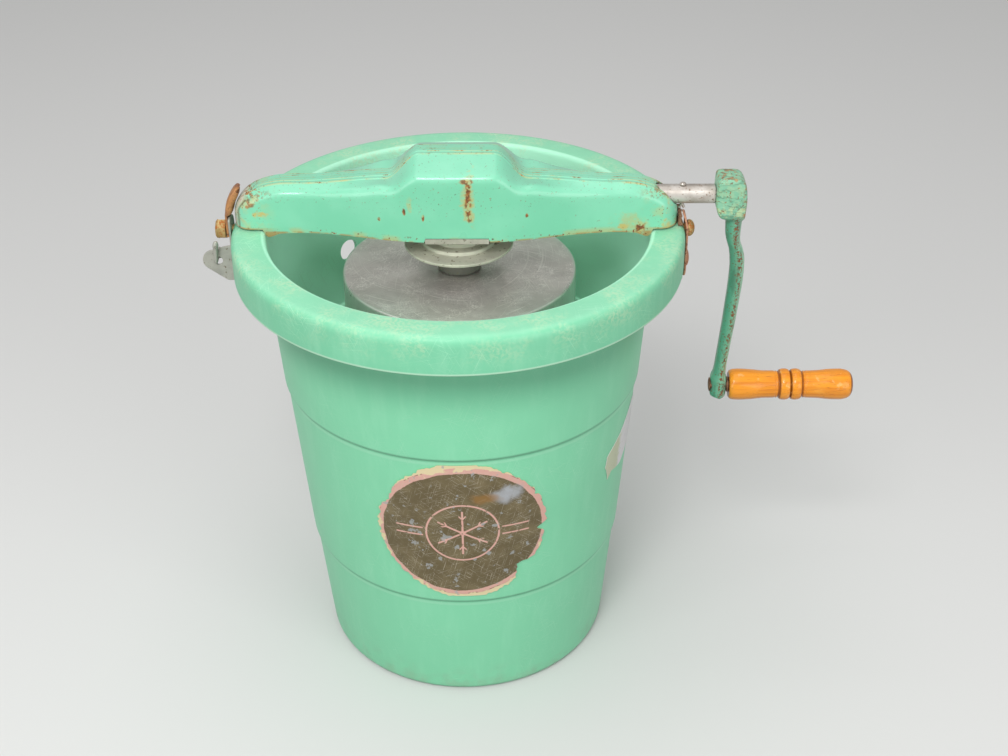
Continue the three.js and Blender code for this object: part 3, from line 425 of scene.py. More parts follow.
# Shader maths
class Value:
    """A number that changes over a surface. Its operators add Math nodes."""

    def __init__(self, tree: "Tree", socket: bpy.types.NodeSocket) -> None:
        """Wraps an output socket of a tree."""
        self.tree, self.socket = tree, socket

    def math(self, operation: str, other: "Value | float" = 0.0, swapped: bool = False) -> "Value":
        """Adds a Math node on this value and another.

        Args:
            operation: What the node does.
            other: The second value.
            swapped: True to put the other value first.

        Returns:
            The node's result.
        """
        pair = [other, self] if swapped else [self, other]
        made = self.tree.node("ShaderNodeMath", {"operation": operation}, dict(enumerate(pair)))
        return Value(self.tree, made.outputs[0])

    def __add__(self, other: "Value | float") -> "Value":
        """Sum."""
        return self.math("ADD", other)

    def __sub__(self, other: "Value | float") -> "Value":
        """Difference."""
        return self.math("SUBTRACT", other)

    def __rsub__(self, other: float) -> "Value":
        """A number less this value."""
        return self.math("SUBTRACT", other, swapped=True)

    def __mul__(self, other: "Value | float") -> "Value":
        """Product."""
        return self.math("MULTIPLY", other)

    def __truediv__(self, other: "Value | float") -> "Value":
        """Quotient."""
        return self.math("DIVIDE", other)

    def __rtruediv__(self, other: float) -> "Value":
        """A number divided by this value."""
        return self.math("DIVIDE", other, swapped=True)

    def __pow__(self, other: float) -> "Value":
        """Power."""
        return self.math("POWER", other)

    __radd__ = __add__
    __rmul__ = __mul__

    def __abs__(self) -> "Value":
        """Size without sign."""
        return self.math("ABSOLUTE")

    def most(self, other: "Value | float") -> "Value":
        """The larger of two."""
        return self.math("MAXIMUM", other)

    def rise(self, low: float, high: float) -> "Value":
        """Zero below low, one above high, with a smooth step between.

        Args:
            low: Where it leaves zero.
            high: Where it reaches one.

        Returns:
            The step.
        """
        ends = {"Value": self, "From Min": low, "From Max": high}
        made = self.tree.node("ShaderNodeMapRange", {"interpolation_type": "SMOOTHSTEP"}, ends)
        return Value(self.tree, made.outputs[0])

    def fall(self, low: float, high: float) -> "Value":
        """One below low, zero above high, with a smooth step between."""
        return 1 - self.rise(low, high)


class Tree:
    """The nodes of one material round its Principled shader."""

    def __init__(self, name: str, **constants: float) -> None:
        """Starts a material.

        Args:
            name: Name of the material.
            constants: Numbers for the shader's own sockets, with underscores for spaces.
        """
        self.material = bpy.data.materials.new(name)
        self.material.use_nodes = True
        self.material.node_tree.nodes.clear()
        self.shader = self.node("ShaderNodeBsdfPrincipled")
        self.connect(self.shader, {key.replace("_", " "): value for key, value in constants.items()})
        self.node("ShaderNodeOutputMaterial", {}, {"Surface": self.shader.outputs[0]})
        self.place = self.node("ShaderNodeTexCoord").outputs["Object"]
        self.flat = self.node("ShaderNodeUVMap", {"uv_map": "flat"}).outputs[0]

    def connect(self, node: bpy.types.Node, sockets: dict[Any, Any]) -> None:
        """Fills a node's inputs.

        Args:
            node: The node.
            sockets: A number, colour, socket or Value for each input, by name or index.
        """
        for key, value in sockets.items():
            socket = node.inputs[key]
            source = value.socket if isinstance(value, Value) else value
            if isinstance(source, bpy.types.NodeSocket):
                self.material.node_tree.links.new(source, socket)
            else:
                socket.default_value = (*source, 1) if socket.type == "RGBA" else source

    def node(self, kind: str, settings: dict[str, Any] | None = None,
             sockets: dict[Any, Any] | None = None) -> bpy.types.Node:
        """Makes a node.

        Args:
            kind: Its type.
            settings: Properties, set first.
            sockets: What its inputs get, by name or index.

        Returns:
            The node.
        """
        made = self.material.node_tree.nodes.new(kind)
        for key, value in (settings or {}).items():
            setattr(made, key, value)
        self.connect(made, sockets or {})
        return made

    def axes(self, source: bpy.types.NodeSocket | None = None) -> tuple[Value, Value, Value]:
        """The three numbers of a place, in metres."""
        parts = self.node("ShaderNodeSeparateXYZ", {}, {0: source or self.place})
        return tuple(Value(self, socket) for socket in parts.outputs)

    def noise(self, size: float | Row, detail: float = 3, seed: float = 0, turn: float = 0,
              source: bpy.types.NodeSocket | None = None, wander: float = 0) -> Value:
        """Cloudy noise about 0.5.

        Args:
            size: Size of its lumps in millimetres, one number or three.
            detail: Octaves.
            seed: Picks another pattern.
            turn: Degrees about the third axis.
            source: Coordinates, the object's by default.
            wander: Distortion.

        Returns:
            The noise.
        """
        sizes = [size] * 3 if isinstance(size, (int, float)) else size
        mapped = self.node("ShaderNodeMapping", {"vector_type": "TEXTURE"}, {
            "Vector": source or self.place, "Location": (seed * 0.731, seed * 0.417, seed * 0.253),
            "Rotation": (0, 0, np.radians(turn)), "Scale": tuple(s * MM for s in sizes)})
        made = self.node("ShaderNodeTexNoise", {}, {
            "Vector": mapped.outputs[0], "Scale": 1.0, "Detail": detail, "Roughness": 0.55,
            "Distortion": wander})
        return Value(self, made.outputs[0])

    def scratches(self, length: float, width: float, marks: Table) -> Value:
        """Thin scratches on the flat places, one set of parallel ones for each turn and seed."""
        return sum((self.noise((length, width, 10), 1, seed, turn, self.flat).rise(0.66, 0.71)
                    for turn, seed in marks), 0)

    def mix(self, base: Any, *layers: tuple[Any, Value | float]) -> bpy.types.NodeSocket:
        """Lays colours over a base, one after the other.

        Args:
            base: Colour or socket below.
            layers: Each with its colour and its share.

        Returns:
            The colour on top.
        """
        for over, share in layers:
            base = self.node("ShaderNodeMix", {"data_type": "RGBA"}, {0: share, 6: base, 7: over}).outputs[2]
        return base

    def spot(self, place: tuple[Value, Value], size: Row, at: Row, rough: Value,
             soft: float = 0.35) -> Value:
        """A ragged oval spot.

        Args:
            place: Two numbers of the place, in millimetres.
            size: Half width and half height.
            at: The spot's middle.
            rough: Noise for its edge.
            soft: Half width of its fading edge, as a share of its size.

        Returns:
            One in the spot and zero away from it.
        """
        u, v = (place[0] - at[0]) / size[0], (place[1] - at[1]) / size[1]
        distance = (u * u + v * v) ** 0.5 + (rough - 0.5) * 2.2
        return distance.fall(1 - soft, 1 + soft)

    def dress(self, colour: Any, roughness: Value | float, height: Value | None = None,
              depth: float = 0.1, **more: Value) -> bpy.types.Material:
        """Links the shader.

        Args:
            colour: Colour or socket of the surface.
            roughness: Number or Value.
            height: Relief from 0 to 1.
            depth: The relief's height in millimetres.
            more: Other inputs of the shader by name.

        Returns:
            The material.
        """
        links = {"Base Color": colour, "Roughness": roughness}
        if height is not None:
            relief = {"Height": height, "Distance": depth * MM, "Strength": 1.0}
            links["Normal"] = self.node("ShaderNodeBump", {}, relief).outputs[0]
        links.update({key.replace("_", " "): value for key, value in more.items()})
        self.connect(self.shader, links)
        return self.material


# Finishes
class Rust(Enum):
    """Colours of rust, from fresh stain to old scale."""

    STAIN = (0.56, 0.46, 0.17)
    ORANGE = (0.50, 0.19, 0.045)
    BROWN = (0.20, 0.075, 0.032)
    DARK = (0.055, 0.03, 0.02)


@dataclass(frozen=True)
class Finish:
    """How a surface looks."""

    def material(self) -> bpy.types.Material:
        """Builds the material."""
        raise NotImplementedError


@dataclass(frozen=True)
class MintPlastic(Finish):
    """Jade green moulded plastic, paler on the rim, with pale scratches that are dense inside. Painted light
    and shade: a paler rim top, inside wall and lower wall, a shadow under the rim, a pale line along the
    rim's lower edge, and a dark line with a pale line below it at each ledge.
    """

    colour: Colour = (0.215, 0.640, 0.390)
    pale: Colour = (0.45, 0.84, 0.60)
    deep: Colour = (0.165, 0.50, 0.305)
    # Painted light: colour of the inside wall, paler than the plastic.
    inner: Colour = (0.50, 0.96, 0.71)
    painted_lower_light: Colour = (0.33, 0.88, 0.53)
    worn: Colour = (0.62, 0.76, 0.50)
    shadow: Colour = (0.135, 0.42, 0.25)
    # Painted shade: colour of the dark line at each ledge.
    grime_and_shade: Colour = (0.07, 0.22, 0.13)
    hem: Colour = (0.62, 0.86, 0.66)
    scuffed: Colour = (0.30, 0.46, 0.30)
    ledges: Row = (0.0914, 0.2174)
    rim_foot: float = 0.2992
    marks: Table = ((12, 3), (64, 4), (118, 5), (155, 6))

    def material(self) -> bpy.types.Material:
        """Builds the material.

        Returns:
            The material.
        """
        tree = Tree("mint_plastic", Specular_IOR_Level=0.35)
        x, y, z = tree.axes()
        radius = (x * x + y * y) ** 0.5
        inside = (radius - z * 0.0896).fall(0.0997, 0.1013)
        outside = 1 - inside
        rim = z.rise(0.300, 0.322)
        fine = tree.scratches(26, 0.55, self.marks)
        marks = fine * tree.noise(34, 2, 7).rise(0.40, 0.66) * (0.30 + inside * 0.5 + rim * 0.3)
        yellow = tree.noise(24, 3, 8).rise(0.40, 0.70) * tree.noise(2.0, 3, 13).rise(0.38, 0.62) * rim
        base = tree.mix(
            self.colour,
            (self.deep, tree.noise(70, 3, 1).rise(0.35, 0.8) * 0.35),
            (self.pale, tree.noise((9, 9, 60), 3, 2).rise(0.45, 0.75) * 0.16),
            # Painted light: the inside wall is painted much paler, so that it looks lit like the outside.
            (self.inner, inside * 0.95),
            # Painted light: the outer wall is paler below 250 mm and fades to the plain colour by 290 mm, so
            # that the wall under the rim looks shaded.
            (self.painted_lower_light, z.fall(0.250, 0.290) * outside * 0.36),
            (self.pale, marks),
            # Painted highlight: the rim's top face is painted paler.
            (self.pale, z.rise(0.3225, 0.3243) * 0.25),
            (self.worn, yellow * 0.5))
        # Painted shade and highlight at each ledge: a dark line on the step and a pale line 3.4 mm below it.
        for ledge in self.ledges:
            light = abs(z - (ledge - 0.0034)).fall(0.0004, 0.0018)
            grime_and_shade = abs(z - ledge).fall(0.0007, 0.0024)
            base = tree.mix(base, (self.pale, light * outside * 0.30), (self.grime_and_shade, grime_and_shade * outside * 0.44))
        # Painted highlight: a pale line along the rim's lower edge.
        hem = abs(z - self.rim_foot).fall(0.0004, 0.0013) * radius.rise(0.140, 0.142)
        shade = z.fall(0.2700, 0.2975) * z.rise(0.2400, 0.2975) * radius.fall(0.139, 0.141) * outside
        low = z.fall(0.004, 0.03) * tree.noise(14, 4, 9).rise(0.4, 0.7)
        base = tree.mix(base, (self.hem, hem * 0.6), (self.shadow, shade * 0.95), (self.scuffed, low * 0.4))
        grain = tree.noise(1.6, 2, 10) * 0.25 + fine * -0.4 + tree.noise(18, 2, 11) * 0.9
        rough = 0.36 + tree.noise(45, 3, 12) * 0.12 + marks * 0.25 + inside * 0.06
        return tree.dress(base, rough, grain, 0.07)


@dataclass(frozen=True)
class Stain:
    """A place on the side of the case that shows rust: centre and half size in millimetres."""

    x: float
    z: float
    wide: float
    high: float
    colour: Rust = Rust.BROWN
    strength: float = 1.0


@dataclass(frozen=True)
class Enamel(Finish):
    """Glossy mint enamel on pressed steel, chipped and rusty along its edges and rib lines."""

    colour: Colour = (0.222, 0.640, 0.425)
    pale: Colour = (0.36, 0.80, 0.58)
    edge_rust: Colour = (0.42, 0.22, 0.06)
    seat_rust: Colour = (0.46, 0.22, 0.05)
    lip: Colour = (0.60, 0.56, 0.46)
    # Painted shadow: colour of the line beside the pale lip.
    gap: Colour = (0.16, 0.13, 0.07)
    rib_half: float = 7.0
    lip_half: float = 10.0
    stains: tuple[Stain, ...] = (
        Stain(7.5, 352, 4.2, 15, Rust.STAIN, 0.75), Stain(7.5, 353, 2.0, 12.5, Rust.BROWN),
        Stain(7.0, 366, 4.5, 1.6, Rust.BROWN, 0.9), Stain(8.2, 341, 1.2, 4.5, Rust.ORANGE, 0.8),
        Stain(-33.5, 345, 1.0, 2.4), Stain(-21.5, 341, 0.8, 2.0), Stain(-50, 338, 1.3, 1.3),
        Stain(45, 341, 1.1, 1.5), Stain(-136, 344, 3.6, 2.8, Rust.BROWN, 0.8),
        Stain(-131, 347.5, 2.2, 1.2, Rust.DARK, 0.8), Stain(-128, 336.5, 4.2, 1.8, Rust.STAIN),
        Stain(-30, 350, 1.6, 5, Rust.STAIN, 0.5), Stain(113, 331, 10, 6, Rust.STAIN, 0.5),
        Stain(119, 327, 2.6, 4.4, Rust.BROWN), Stain(108, 327.5, 3.2, 2.4, Rust.STAIN),
        Stain(136, 329, 3, 3, Rust.STAIN, 0.7))

    def material(self) -> bpy.types.Material:
        """Builds the material.

        Returns:
            The material.
        """
        tree = Tree("mint_enamel", Coat_Roughness=0.10, Specular_IOR_Level=0.4)
        x, y, z = tree.axes()
        far = abs(y)
        ends = abs(x).rise(0.112, 0.140)
        upper = z.rise(0.340, 0.349)
        hem = z.fall(0.3250, 0.3285)
        yellow = ends * tree.noise(9, 5, 23).rise(0.46, 0.66) * 0.5
        line = abs(far - self.rib_half * MM).fall(0.00045, 0.0011)
        line = line.most(abs(far - self.rib_half * 0.5 * MM).fall(0.0003, 0.0008))
        line = line.most(far.fall(0.0002, 0.0007)) * upper
        lined = line * tree.noise(9, 5, 25).rise(0.50, 0.64)
        paint = tree.mix(
            self.colour,
            (self.pale, tree.noise(38, 3, 21).rise(0.42, 0.74) * 0.28),
            (Rust.STAIN.value, yellow),
            (Rust.STAIN.value, hem * tree.noise(26, 4, 24).rise(0.50, 0.62) * 0.55),
            (self.edge_rust, z.fall(0.3236, 0.3252) * tree.noise(9, 4, 37).rise(0.40, 0.56) * 0.8),
            (self.seat_rust, ends * z.fall(0.3262, 0.3275) * 0.75),
            (Rust.STAIN.value, line * tree.noise(16, 3, 36).rise(0.4, 0.6) * 0.45))
        chips = tree.noise(2.6, 4, 26).rise(0.70, 0.73) * (0.35 + ends * 0.65)
        chips = chips.most(tree.noise(1.5, 3, 27).rise(0.655, 0.68) * (ends + upper * 0.55))
        chips = chips.most(hem * tree.noise(2.4, 4, 28).rise(0.62, 0.65))
        corner = abs(z - 0.3497).fall(0.001, 0.004)
        chips = chips.most(corner * ends * tree.noise(2.2, 4, 29).rise(0.50, 0.55))
        rust = lined * tree.noise(1.8, 3, 35).rise(0.46, 0.56) * 0.9
        paint, rust = self.stained(tree, paint, rust)
        brown = tree.mix(
            Rust.BROWN.value,
            (Rust.ORANGE.value, tree.noise(2.2, 3, 30).rise(0.42, 0.62) * 0.7),
            (Rust.DARK.value, tree.noise(3.1, 3, 31).rise(0.5, 0.66) * 0.7))
        halo = (tree.noise(2.6, 3, 26).rise(0.60, 0.70) * ends * 0.5).most(lined * 0.5)
        tip = x.fall(-0.1395, -0.1345)
        lip = tip * far.fall(self.lip_half * MM * 0.9, self.lip_half * MM)
        # Painted shadow: a dark line just outside the pale lip at the left end.
        gap = tip * abs(far - self.lip_half * MM * 1.06).fall(0.0003, 0.0010)
        bare = rust.most(chips)
        colour = tree.mix(
            paint,
            (Rust.STAIN.value, halo),
            (self.lip, lip * (0.5 + tree.noise(6, 4, 39).rise(0.35, 0.6) * 0.45)),
            (self.gap, gap * 0.7),
            (brown, bare))
        height = tree.noise(14, 3, 32) * 0.55 - bare * 0.8 + bare * tree.noise(0.9, 3, 33) * 0.5
        roughness = 0.24 + tree.noise(30, 3, 34) * 0.10 + bare * 0.45 + yellow * 0.25
        return tree.dress(colour, roughness, height, 0.09, Coat_Weight=(1 - bare) * 0.34)

    def stained(self, tree: Tree, paint: Any, rust: Value) -> tuple[Any, Value]:
        """Adds the stains to the front of the case.

        Args:
            tree: The material's nodes.
            paint: Colour of the paint so far.
            rust: Share of bare rust so far.

        Returns:
            The paint and the rust with the stains.
        """
        x, y, z = tree.axes()
        edge = tree.noise(5, 4, 22)
        broken = tree.noise(3.4, 5, 38).rise(0.40, 0.50)
        front = y.fall(-0.010, -0.004)
        for stain in self.stains:
            spot = tree.spot((x / MM, z / MM), (stain.wide, stain.high), (stain.x, stain.z), edge)
            mark = spot * front * stain.strength
            if stain.colour is Rust.STAIN:
                paint = tree.mix(paint, (stain.colour.value, mark * (0.35 + broken * 0.65)))
            else:
                paint = tree.mix(paint, (Rust.STAIN.value, mark * 0.6))
                rust = rust.most(mark * broken)
        return paint, rust


@dataclass(frozen=True)
class BrushedPaint(Finish):
    """Green paint brushed over a rough casting, with rust specks on its ridge and rust at its boss."""

    colour: Colour = (0.165, 0.47, 0.30)
    pale: Colour = (0.36, 0.66, 0.44)
    shaded: Colour = (0.085, 0.36, 0.23)
    stroke: Colour = (0.11, 0.27, 0.17)
    yellow: Colour = (0.66, 0.70, 0.36)
    streak: Colour = (0.07, 0.17, 0.11)
    boss_foot: float = 0.328

    def material(self) -> bpy.types.Material:
        """Builds the material.

        Returns:
            The material.
        """
        tree = Tree("brushed_paint", Coat_Weight=0.3, Coat_Roughness=0.2)
        x, y, z = tree.axes()
        side = tree.axes(tree.flat)[0] / (10 * MM)
        boss = z.rise(self.boss_foot, self.boss_foot + 0.006)
        shank = 1 - boss
        layers = tree.noise((14, 14, 9), 3, 41)
        contour = (z / MM * 1.3 + layers * 22).math("SINE").rise(0.35, 0.95)
        low = abs(z - 0.3345).fall(0.002, 0.006)
        yellow = tree.noise(4, 4, 43).rise(0.46, 0.58) * (0.35 + low * 0.65) * boss
        base = tree.mix(
            self.colour,
            (self.pale, tree.noise(16, 3, 42).rise(0.38, 0.7) * 0.3 + boss * 0.25),
            # Painted light and shade: the arm's side towards +X is painted paler and its side towards the
            # case darker.
            (self.pale, side.rise(0.25, 0.85) * shank * 0.75),
            (self.shaded, side.fall(-0.6, 0.1) * shank * 0.7),
            (self.stroke, contour * boss * tree.noise(8, 3, 52).rise(0.42, 0.6) * 0.7),
            (self.yellow, yellow * 0.55),
            (self.streak, shank * tree.noise((4, 4, 20), 4, 44).rise(0.50, 0.66) * 0.5))
        rust = z.rise(0.3535, 0.3590) * tree.noise(3.2, 4, 45).rise(0.50, 0.58) * 0.8
        rust = rust.most(x.rise(0.1845, 0.1875) * boss * tree.noise(4, 4, 46).rise(0.46, 0.54))
        ridge = abs(side - 0.25).fall(0.22, 0.5) * y.fall(-0.004, 0.0)
        specks = tree.noise(1.5, 4, 47).rise(0.49, 0.55) * tree.noise(9, 3, 53).rise(0.30, 0.50)
        rust = rust.most(specks * ridge * shank).most(tree.noise(1.5, 3, 48).rise(0.63, 0.66) * 0.9)
        fresh = tree.noise(3, 3, 49).rise(0.4, 0.6) * (0.25 + boss * 0.6)
        brown = tree.mix(Rust.BROWN.value, (Rust.ORANGE.value, fresh))
        height = layers * 1.2 + contour * boss * 0.5 + tree.noise(1.6, 3, 50) * 0.5 - rust * 0.5
        roughness = 0.34 + rust * 0.4 + tree.noise(8, 2, 51) * 0.18
        return tree.dress(tree.mix(base, (brown, rust)), roughness, height, 0.32)


@dataclass(frozen=True)
class Metal(Finish):
    """A bare or plated metal: two tones, a grime colour in spots, and its grain."""

    name: str
    colour: Colour
    shade: Colour
    grime_and_shade: Colour
    roughness: float = 0.4
    metallic: float = 0.9
    grime_share: float = 0.2
    grime_size: float = 4.0
    cloud_size: float = 18.0
    relief: float = 0.06
    turned: bool = False
    painted_underside_shade: Colour = (0.15, 0.145, 0.13)

    def material(self) -> bpy.types.Material:
        """Builds the material. A turned metal has fine rings about the upright axis, and painted shade below
        about 309 mm, where its underside and hub are painted dark.

        Returns:
            The material.
        """
        tree = Tree(self.name)
        x, y, z = tree.axes()
        base = tree.mix(self.colour, (self.shade, tree.noise(self.cloud_size, 4, 61).rise(0.36, 0.68)))
        edge = 0.62 - self.grime_share * 0.5
        dirt = tree.noise(self.grime_size, 5, 62).rise(edge, edge + 0.10)
        height = tree.noise(0.9, 3, 63) * 0.6 - dirt * 0.5
        roughness = self.roughness + dirt * 0.25 + tree.noise(9, 3, 64) * 0.12
        if self.turned:
            rings = ((x * x + y * y) ** 0.5 * 9000).math("SINE").rise(-0.6, 1.0)
            # Painted shade: everything below the disc's lower face is painted dark.
            under = z.fall(0.3088, 0.3094)
            base = tree.mix(base, (self.shade, rings * 0.3), (self.painted_underside_shade, under * 0.85))
            height = height + rings * 0.3
        metallic = self.metallic * (1 - dirt * 0.8)
        colour = tree.mix(base, (self.grime_and_shade, dirt))
        return tree.dress(colour, roughness, height, self.relief, Metallic=metallic)


@dataclass(frozen=True)
class ScratchedTin(Finish):
    """Dull grey tin plate with swirls of fine scratches and a brighter edge."""

    colour: Colour = (0.59, 0.54, 0.505)
    light: Colour = (0.92, 0.87, 0.82)
    dull: Colour = (0.34, 0.32, 0.30)
    edge: Colour = (0.62, 0.62, 0.57)
    pits: Colour = (0.05, 0.045, 0.04)
    edge_radius: float = 76.6
    swirls: Table = ((8, 5, 71), (-22, 16, 72), (30, -24, 73), (-5, -48, 74))

    def material(self) -> bpy.types.Material:
        """Builds the material. Each swirl is noise on rings about its own centre, shown in patches.

        Returns:
            The material.
        """
        tree = Tree("scratched_tin", Metallic=0.62)
        x, y, _ = tree.axes()
        radius = (x * x + y * y) ** 0.5
        swirls = []
        for along, back, seed in self.swirls:
            u, v = x - along * MM, y - back * MM
            place = {0: (u * u + v * v) ** 0.5, 1: u * 0.04, 2: v * 0.04}
            rings = tree.node("ShaderNodeCombineXYZ", {}, place).outputs[0]
            lines = tree.noise((0.8, 6, 6), 2, seed, source=rings).rise(0.58, 0.70)
            swirls.append(lines * tree.noise(30, 2, seed + 10).rise(0.46, 0.6))
        strokes = swirls[0].most(swirls[1]).most(swirls[2]).most(swirls[3])
        hairs = self.hairs(tree, (0.5, 16, 8), 75, (20, 75, 130), (0.60, 0.68))
        fine = self.hairs(tree, (0.45, 7, 8), 175, (-40, 5, 48, 100), (0.56, 0.66))
        edge = radius.rise((self.edge_radius - 0.8) * MM, self.edge_radius * MM)
        base = tree.mix(
            self.colour,
            (self.light, tree.noise(26, 4, 85).rise(0.4, 0.75) * 0.35),
            (self.light, strokes * 0.75),
            (self.dull, hairs * tree.noise(22, 2, 89).rise(0.4, 0.6) * 0.4),
            (self.light, fine * tree.noise(15, 3, 90).rise(0.42, 0.6) * 0.6),
            (self.edge, edge * 0.6),
            (self.pits, tree.noise(1.2, 3, 86).rise(0.69, 0.73) * 0.6))
        roughness = 0.27 + tree.noise(20, 3, 87) * 0.14 + strokes * 0.12 - edge * 0.05
        return tree.dress(base, roughness, tree.noise(7, 3, 88) * 1.0 + strokes * 0.15, 0.10)

    @staticmethod
    def hairs(tree: Tree, size: Row, seed: float, turns: Row, ends: Row) -> Value:
        """Long thin scratches in several directions.

        Args:
            tree: The material's nodes.
            size: Size of the noise in millimetres.
            seed: Picks the pattern, with the turn added.
            turns: The directions in degrees.
            ends: Where the scratches begin and where they are full.

        Returns:
            The sum of the scratches.
        """
        return sum((tree.noise(size, 2, seed + turn, turn).rise(*ends) for turn in turns), 0)


@dataclass(frozen=True)
class VarnishedWood(Finish):
    """Turned hardwood under orange varnish: long grain, pores, dark rings in the grooves."""

    light: Colour = (0.94, 0.34, 0.020)
    dark: Colour = (0.64, 0.17, 0.008)
    figure: Colour = (0.96, 0.46, 0.07)
    pore: Colour = (0.30, 0.08, 0.01)
    burnt: Colour = (0.22, 0.055, 0.008)
    rubbed: Colour = (0.95, 0.62, 0.26)
    axis_height: float = 195.8
    groove_at: float = 230.44
    groove_gap: float = 8.0

    def material(self) -> bpy.types.Material:
        """Builds the material.

        Returns:
            The material.
        """
        tree = Tree("varnished_wood", Coat_Weight=0.35, Coat_Roughness=0.12, Specular_IOR_Level=0.3)
        x, y, z = tree.axes()
        up = z - self.axis_height * MM
        depth = (y * y + up * up) ** 0.5
        grain = tree.noise((55, 3.2, 3.2), 4, 91, wander=0.4)
        pores = tree.noise((9, 0.45, 0.45), 2, 92).rise(0.60, 0.68)
        along = (x - self.groove_at * MM) / (self.groove_gap * MM)
        lines = abs(along - along.math("ROUND")).fall(0.06, 0.16) * abs(along).fall(1.2, 1.4)
        wear = tree.noise(7, 4, 94).rise(0.62, 0.68)
        colour = tree.mix(
            self.light,
            (self.dark, grain.rise(0.38, 0.66) * 0.55),
            (self.figure, tree.noise((24, 9, 9), 3, 93).rise(0.5, 0.75) * 0.35),
            (self.pore, pores * 0.5),
            (self.burnt, (lines * 0.8).most(depth.fall(0.0084, 0.0092))),
            (self.rubbed, wear * 0.35))
        roughness = 0.30 + pores * 0.2 + wear * 0.15
        return tree.dress(colour, roughness, grain * 0.6 - pores * 0.5, 0.05)


@dataclass(frozen=True)
class PlainWood(Finish):
    """Bare close-grained wood."""

    light: Colour = (0.62, 0.44, 0.25)
    dark: Colour = (0.40, 0.25, 0.12)

    def material(self) -> bpy.types.Material:
        """Builds the material.

        Returns:
            The material.
        """
        tree = Tree("plain_wood")
        grain = tree.noise((2.2, 2.2, 60), 4, 96, wander=0.3)
        colour = tree.mix(self.light, (self.dark, grain.rise(0.36, 0.7)))
        return tree.dress(colour, 0.62 + grain * 0.15, grain, 0.15)


@dataclass(frozen=True)
class WornPrint(Finish):
    """Old foil paper printed in one dark tone, with a pink border and a plain six-armed frost figure."""

    ground: Colour = (0.130, 0.098, 0.042)
    faded: Colour = (0.25, 0.20, 0.105)
    pink: Colour = (0.74, 0.42, 0.35)
    torn: Colour = (0.80, 0.68, 0.42)
    border_edge: Colour = (0.30, 0.12, 0.10)
    scratch: Colour = (0.66, 0.60, 0.48)
    scuff: Colour = (0.42, 0.44, 0.44)
    rubbed: Colour = (0.45, 0.47, 0.50)
    rusty: Colour = (0.30, 0.15, 0.03)
    half_wide: float = 58.5
    half_high: float = 56.6
    figure: float = 19.0
    marks: Table = ((20, 104), (75, 105), (140, 106))

    def material(self) -> bpy.types.Material:
        """Builds the material on the label's flat places, whose zero is its middle.

        Returns:
            The material.
        """
        tree = Tree("worn_print", Metallic=0.15)
        u, v, _ = (number / MM for number in tree.axes(tree.flat))
        rough = tree.noise(9, 5, 101, source=tree.flat)
        oval = ((u / self.half_wide) ** 2 + (v / self.half_high) ** 2) ** 0.5
        border = oval + (rough - 0.5) * 0.05
        patches = tree.noise(17, 3, 108, source=tree.flat).rise(0.50, 0.60)
        torn = (oval + (rough - 0.5) * 0.30 + patches * 0.06).rise(1.0, 1.02).most(border.rise(0.984, 0.990))
        scuffs = tree.noise(7, 5, 107, source=tree.flat).rise(0.62, 0.66)
        fine = tree.scratches(12, 0.35, self.marks)
        colour = tree.mix(
            self.ground,
            (self.faded, tree.noise(16, 5, 102, source=tree.flat).rise(0.42, 0.72) * 0.6),
            (self.pink, self.printed(tree, u, v)),
            (self.pink, (border + v.rise(-30, 50) * 0.02).rise(0.925, 0.933)),
            (self.border_edge, border.rise(0.972, 0.976) * rough.rise(0.5, 0.56) * 0.8),
            (self.torn, torn),
            (self.scratch, fine * 0.45 * (1 - torn)),
            (self.scuff, scuffs * 0.7),
            (self.rubbed, tree.spot((u, v), (10, 6), (29, 31), rough, 0.5) * 0.85),
            (self.rusty, tree.spot((u, v), (9, 4), (15, 29), rough, 0.5) * 0.7))
        roughness = 0.38 + torn * 0.35 + scuffs * 0.2 + rough * 0.1
        return tree.dress(colour, roughness, rough * 0.6 - torn * 0.8 - scuffs * 0.3, 0.12)

    def printed(self, tree: Tree, u: Value, v: Value) -> Value:
        """The frost figure, the ring round it and the bars beside it.

        Args:
            tree: The material's nodes.
            u: Millimetres across.
            v: Millimetres up.

        Returns:
            One where the print is.
        """
        far = (u * u + v * v) ** 0.5
        folded = abs((u.math("ARCTAN2", v) * 3).math("SINE"))
        arm = folded * far
        star = arm.fall(1.6, 2.3) * far.fall(self.figure - 0.4, self.figure)
        chevron = abs((far - folded * far * 0.45) - self.figure * 0.62)
        star = star.most(chevron.fall(0.5, 0.9) * arm.fall(6.5, 7))
        ring = abs(far - (self.figure + 5)).fall(0.5, 0.8)
        side = abs(u).rise(self.figure + 7, self.figure + 7.4) * abs(u).fall(44, 45)
        bars = abs(abs(v) - 3.2).fall(0.45, 0.75) * side
        return star.most(ring).most(bars) * tree.noise(3, 4, 103, source=tree.flat).rise(0.30, 0.42)


@dataclass(frozen=True)
class BarePaper(Finish):
    """White paper left by a torn-off sticker, yellowed along one side."""

    white: Colour = (0.80, 0.80, 0.80)
    yellowed: Colour = (0.62, 0.66, 0.48)
    fibres: Colour = (0.40, 0.42, 0.36)

    def material(self) -> bpy.types.Material:
        """Builds the material.

        Returns:
            The material.
        """
        tree = Tree("bare_paper")
        fibre = tree.noise(3, 5, 111, source=tree.flat)
        seam = (tree.axes(tree.flat)[0] + (fibre - 0.5) * 0.012).rise(-0.010, -0.004)
        colour = tree.mix(self.yellowed, (self.white, seam), (self.fibres, fibre.rise(0.60, 0.70) * 0.3))
        return tree.dress(colour, 0.7 + fibre * 0.2, fibre, 0.1)


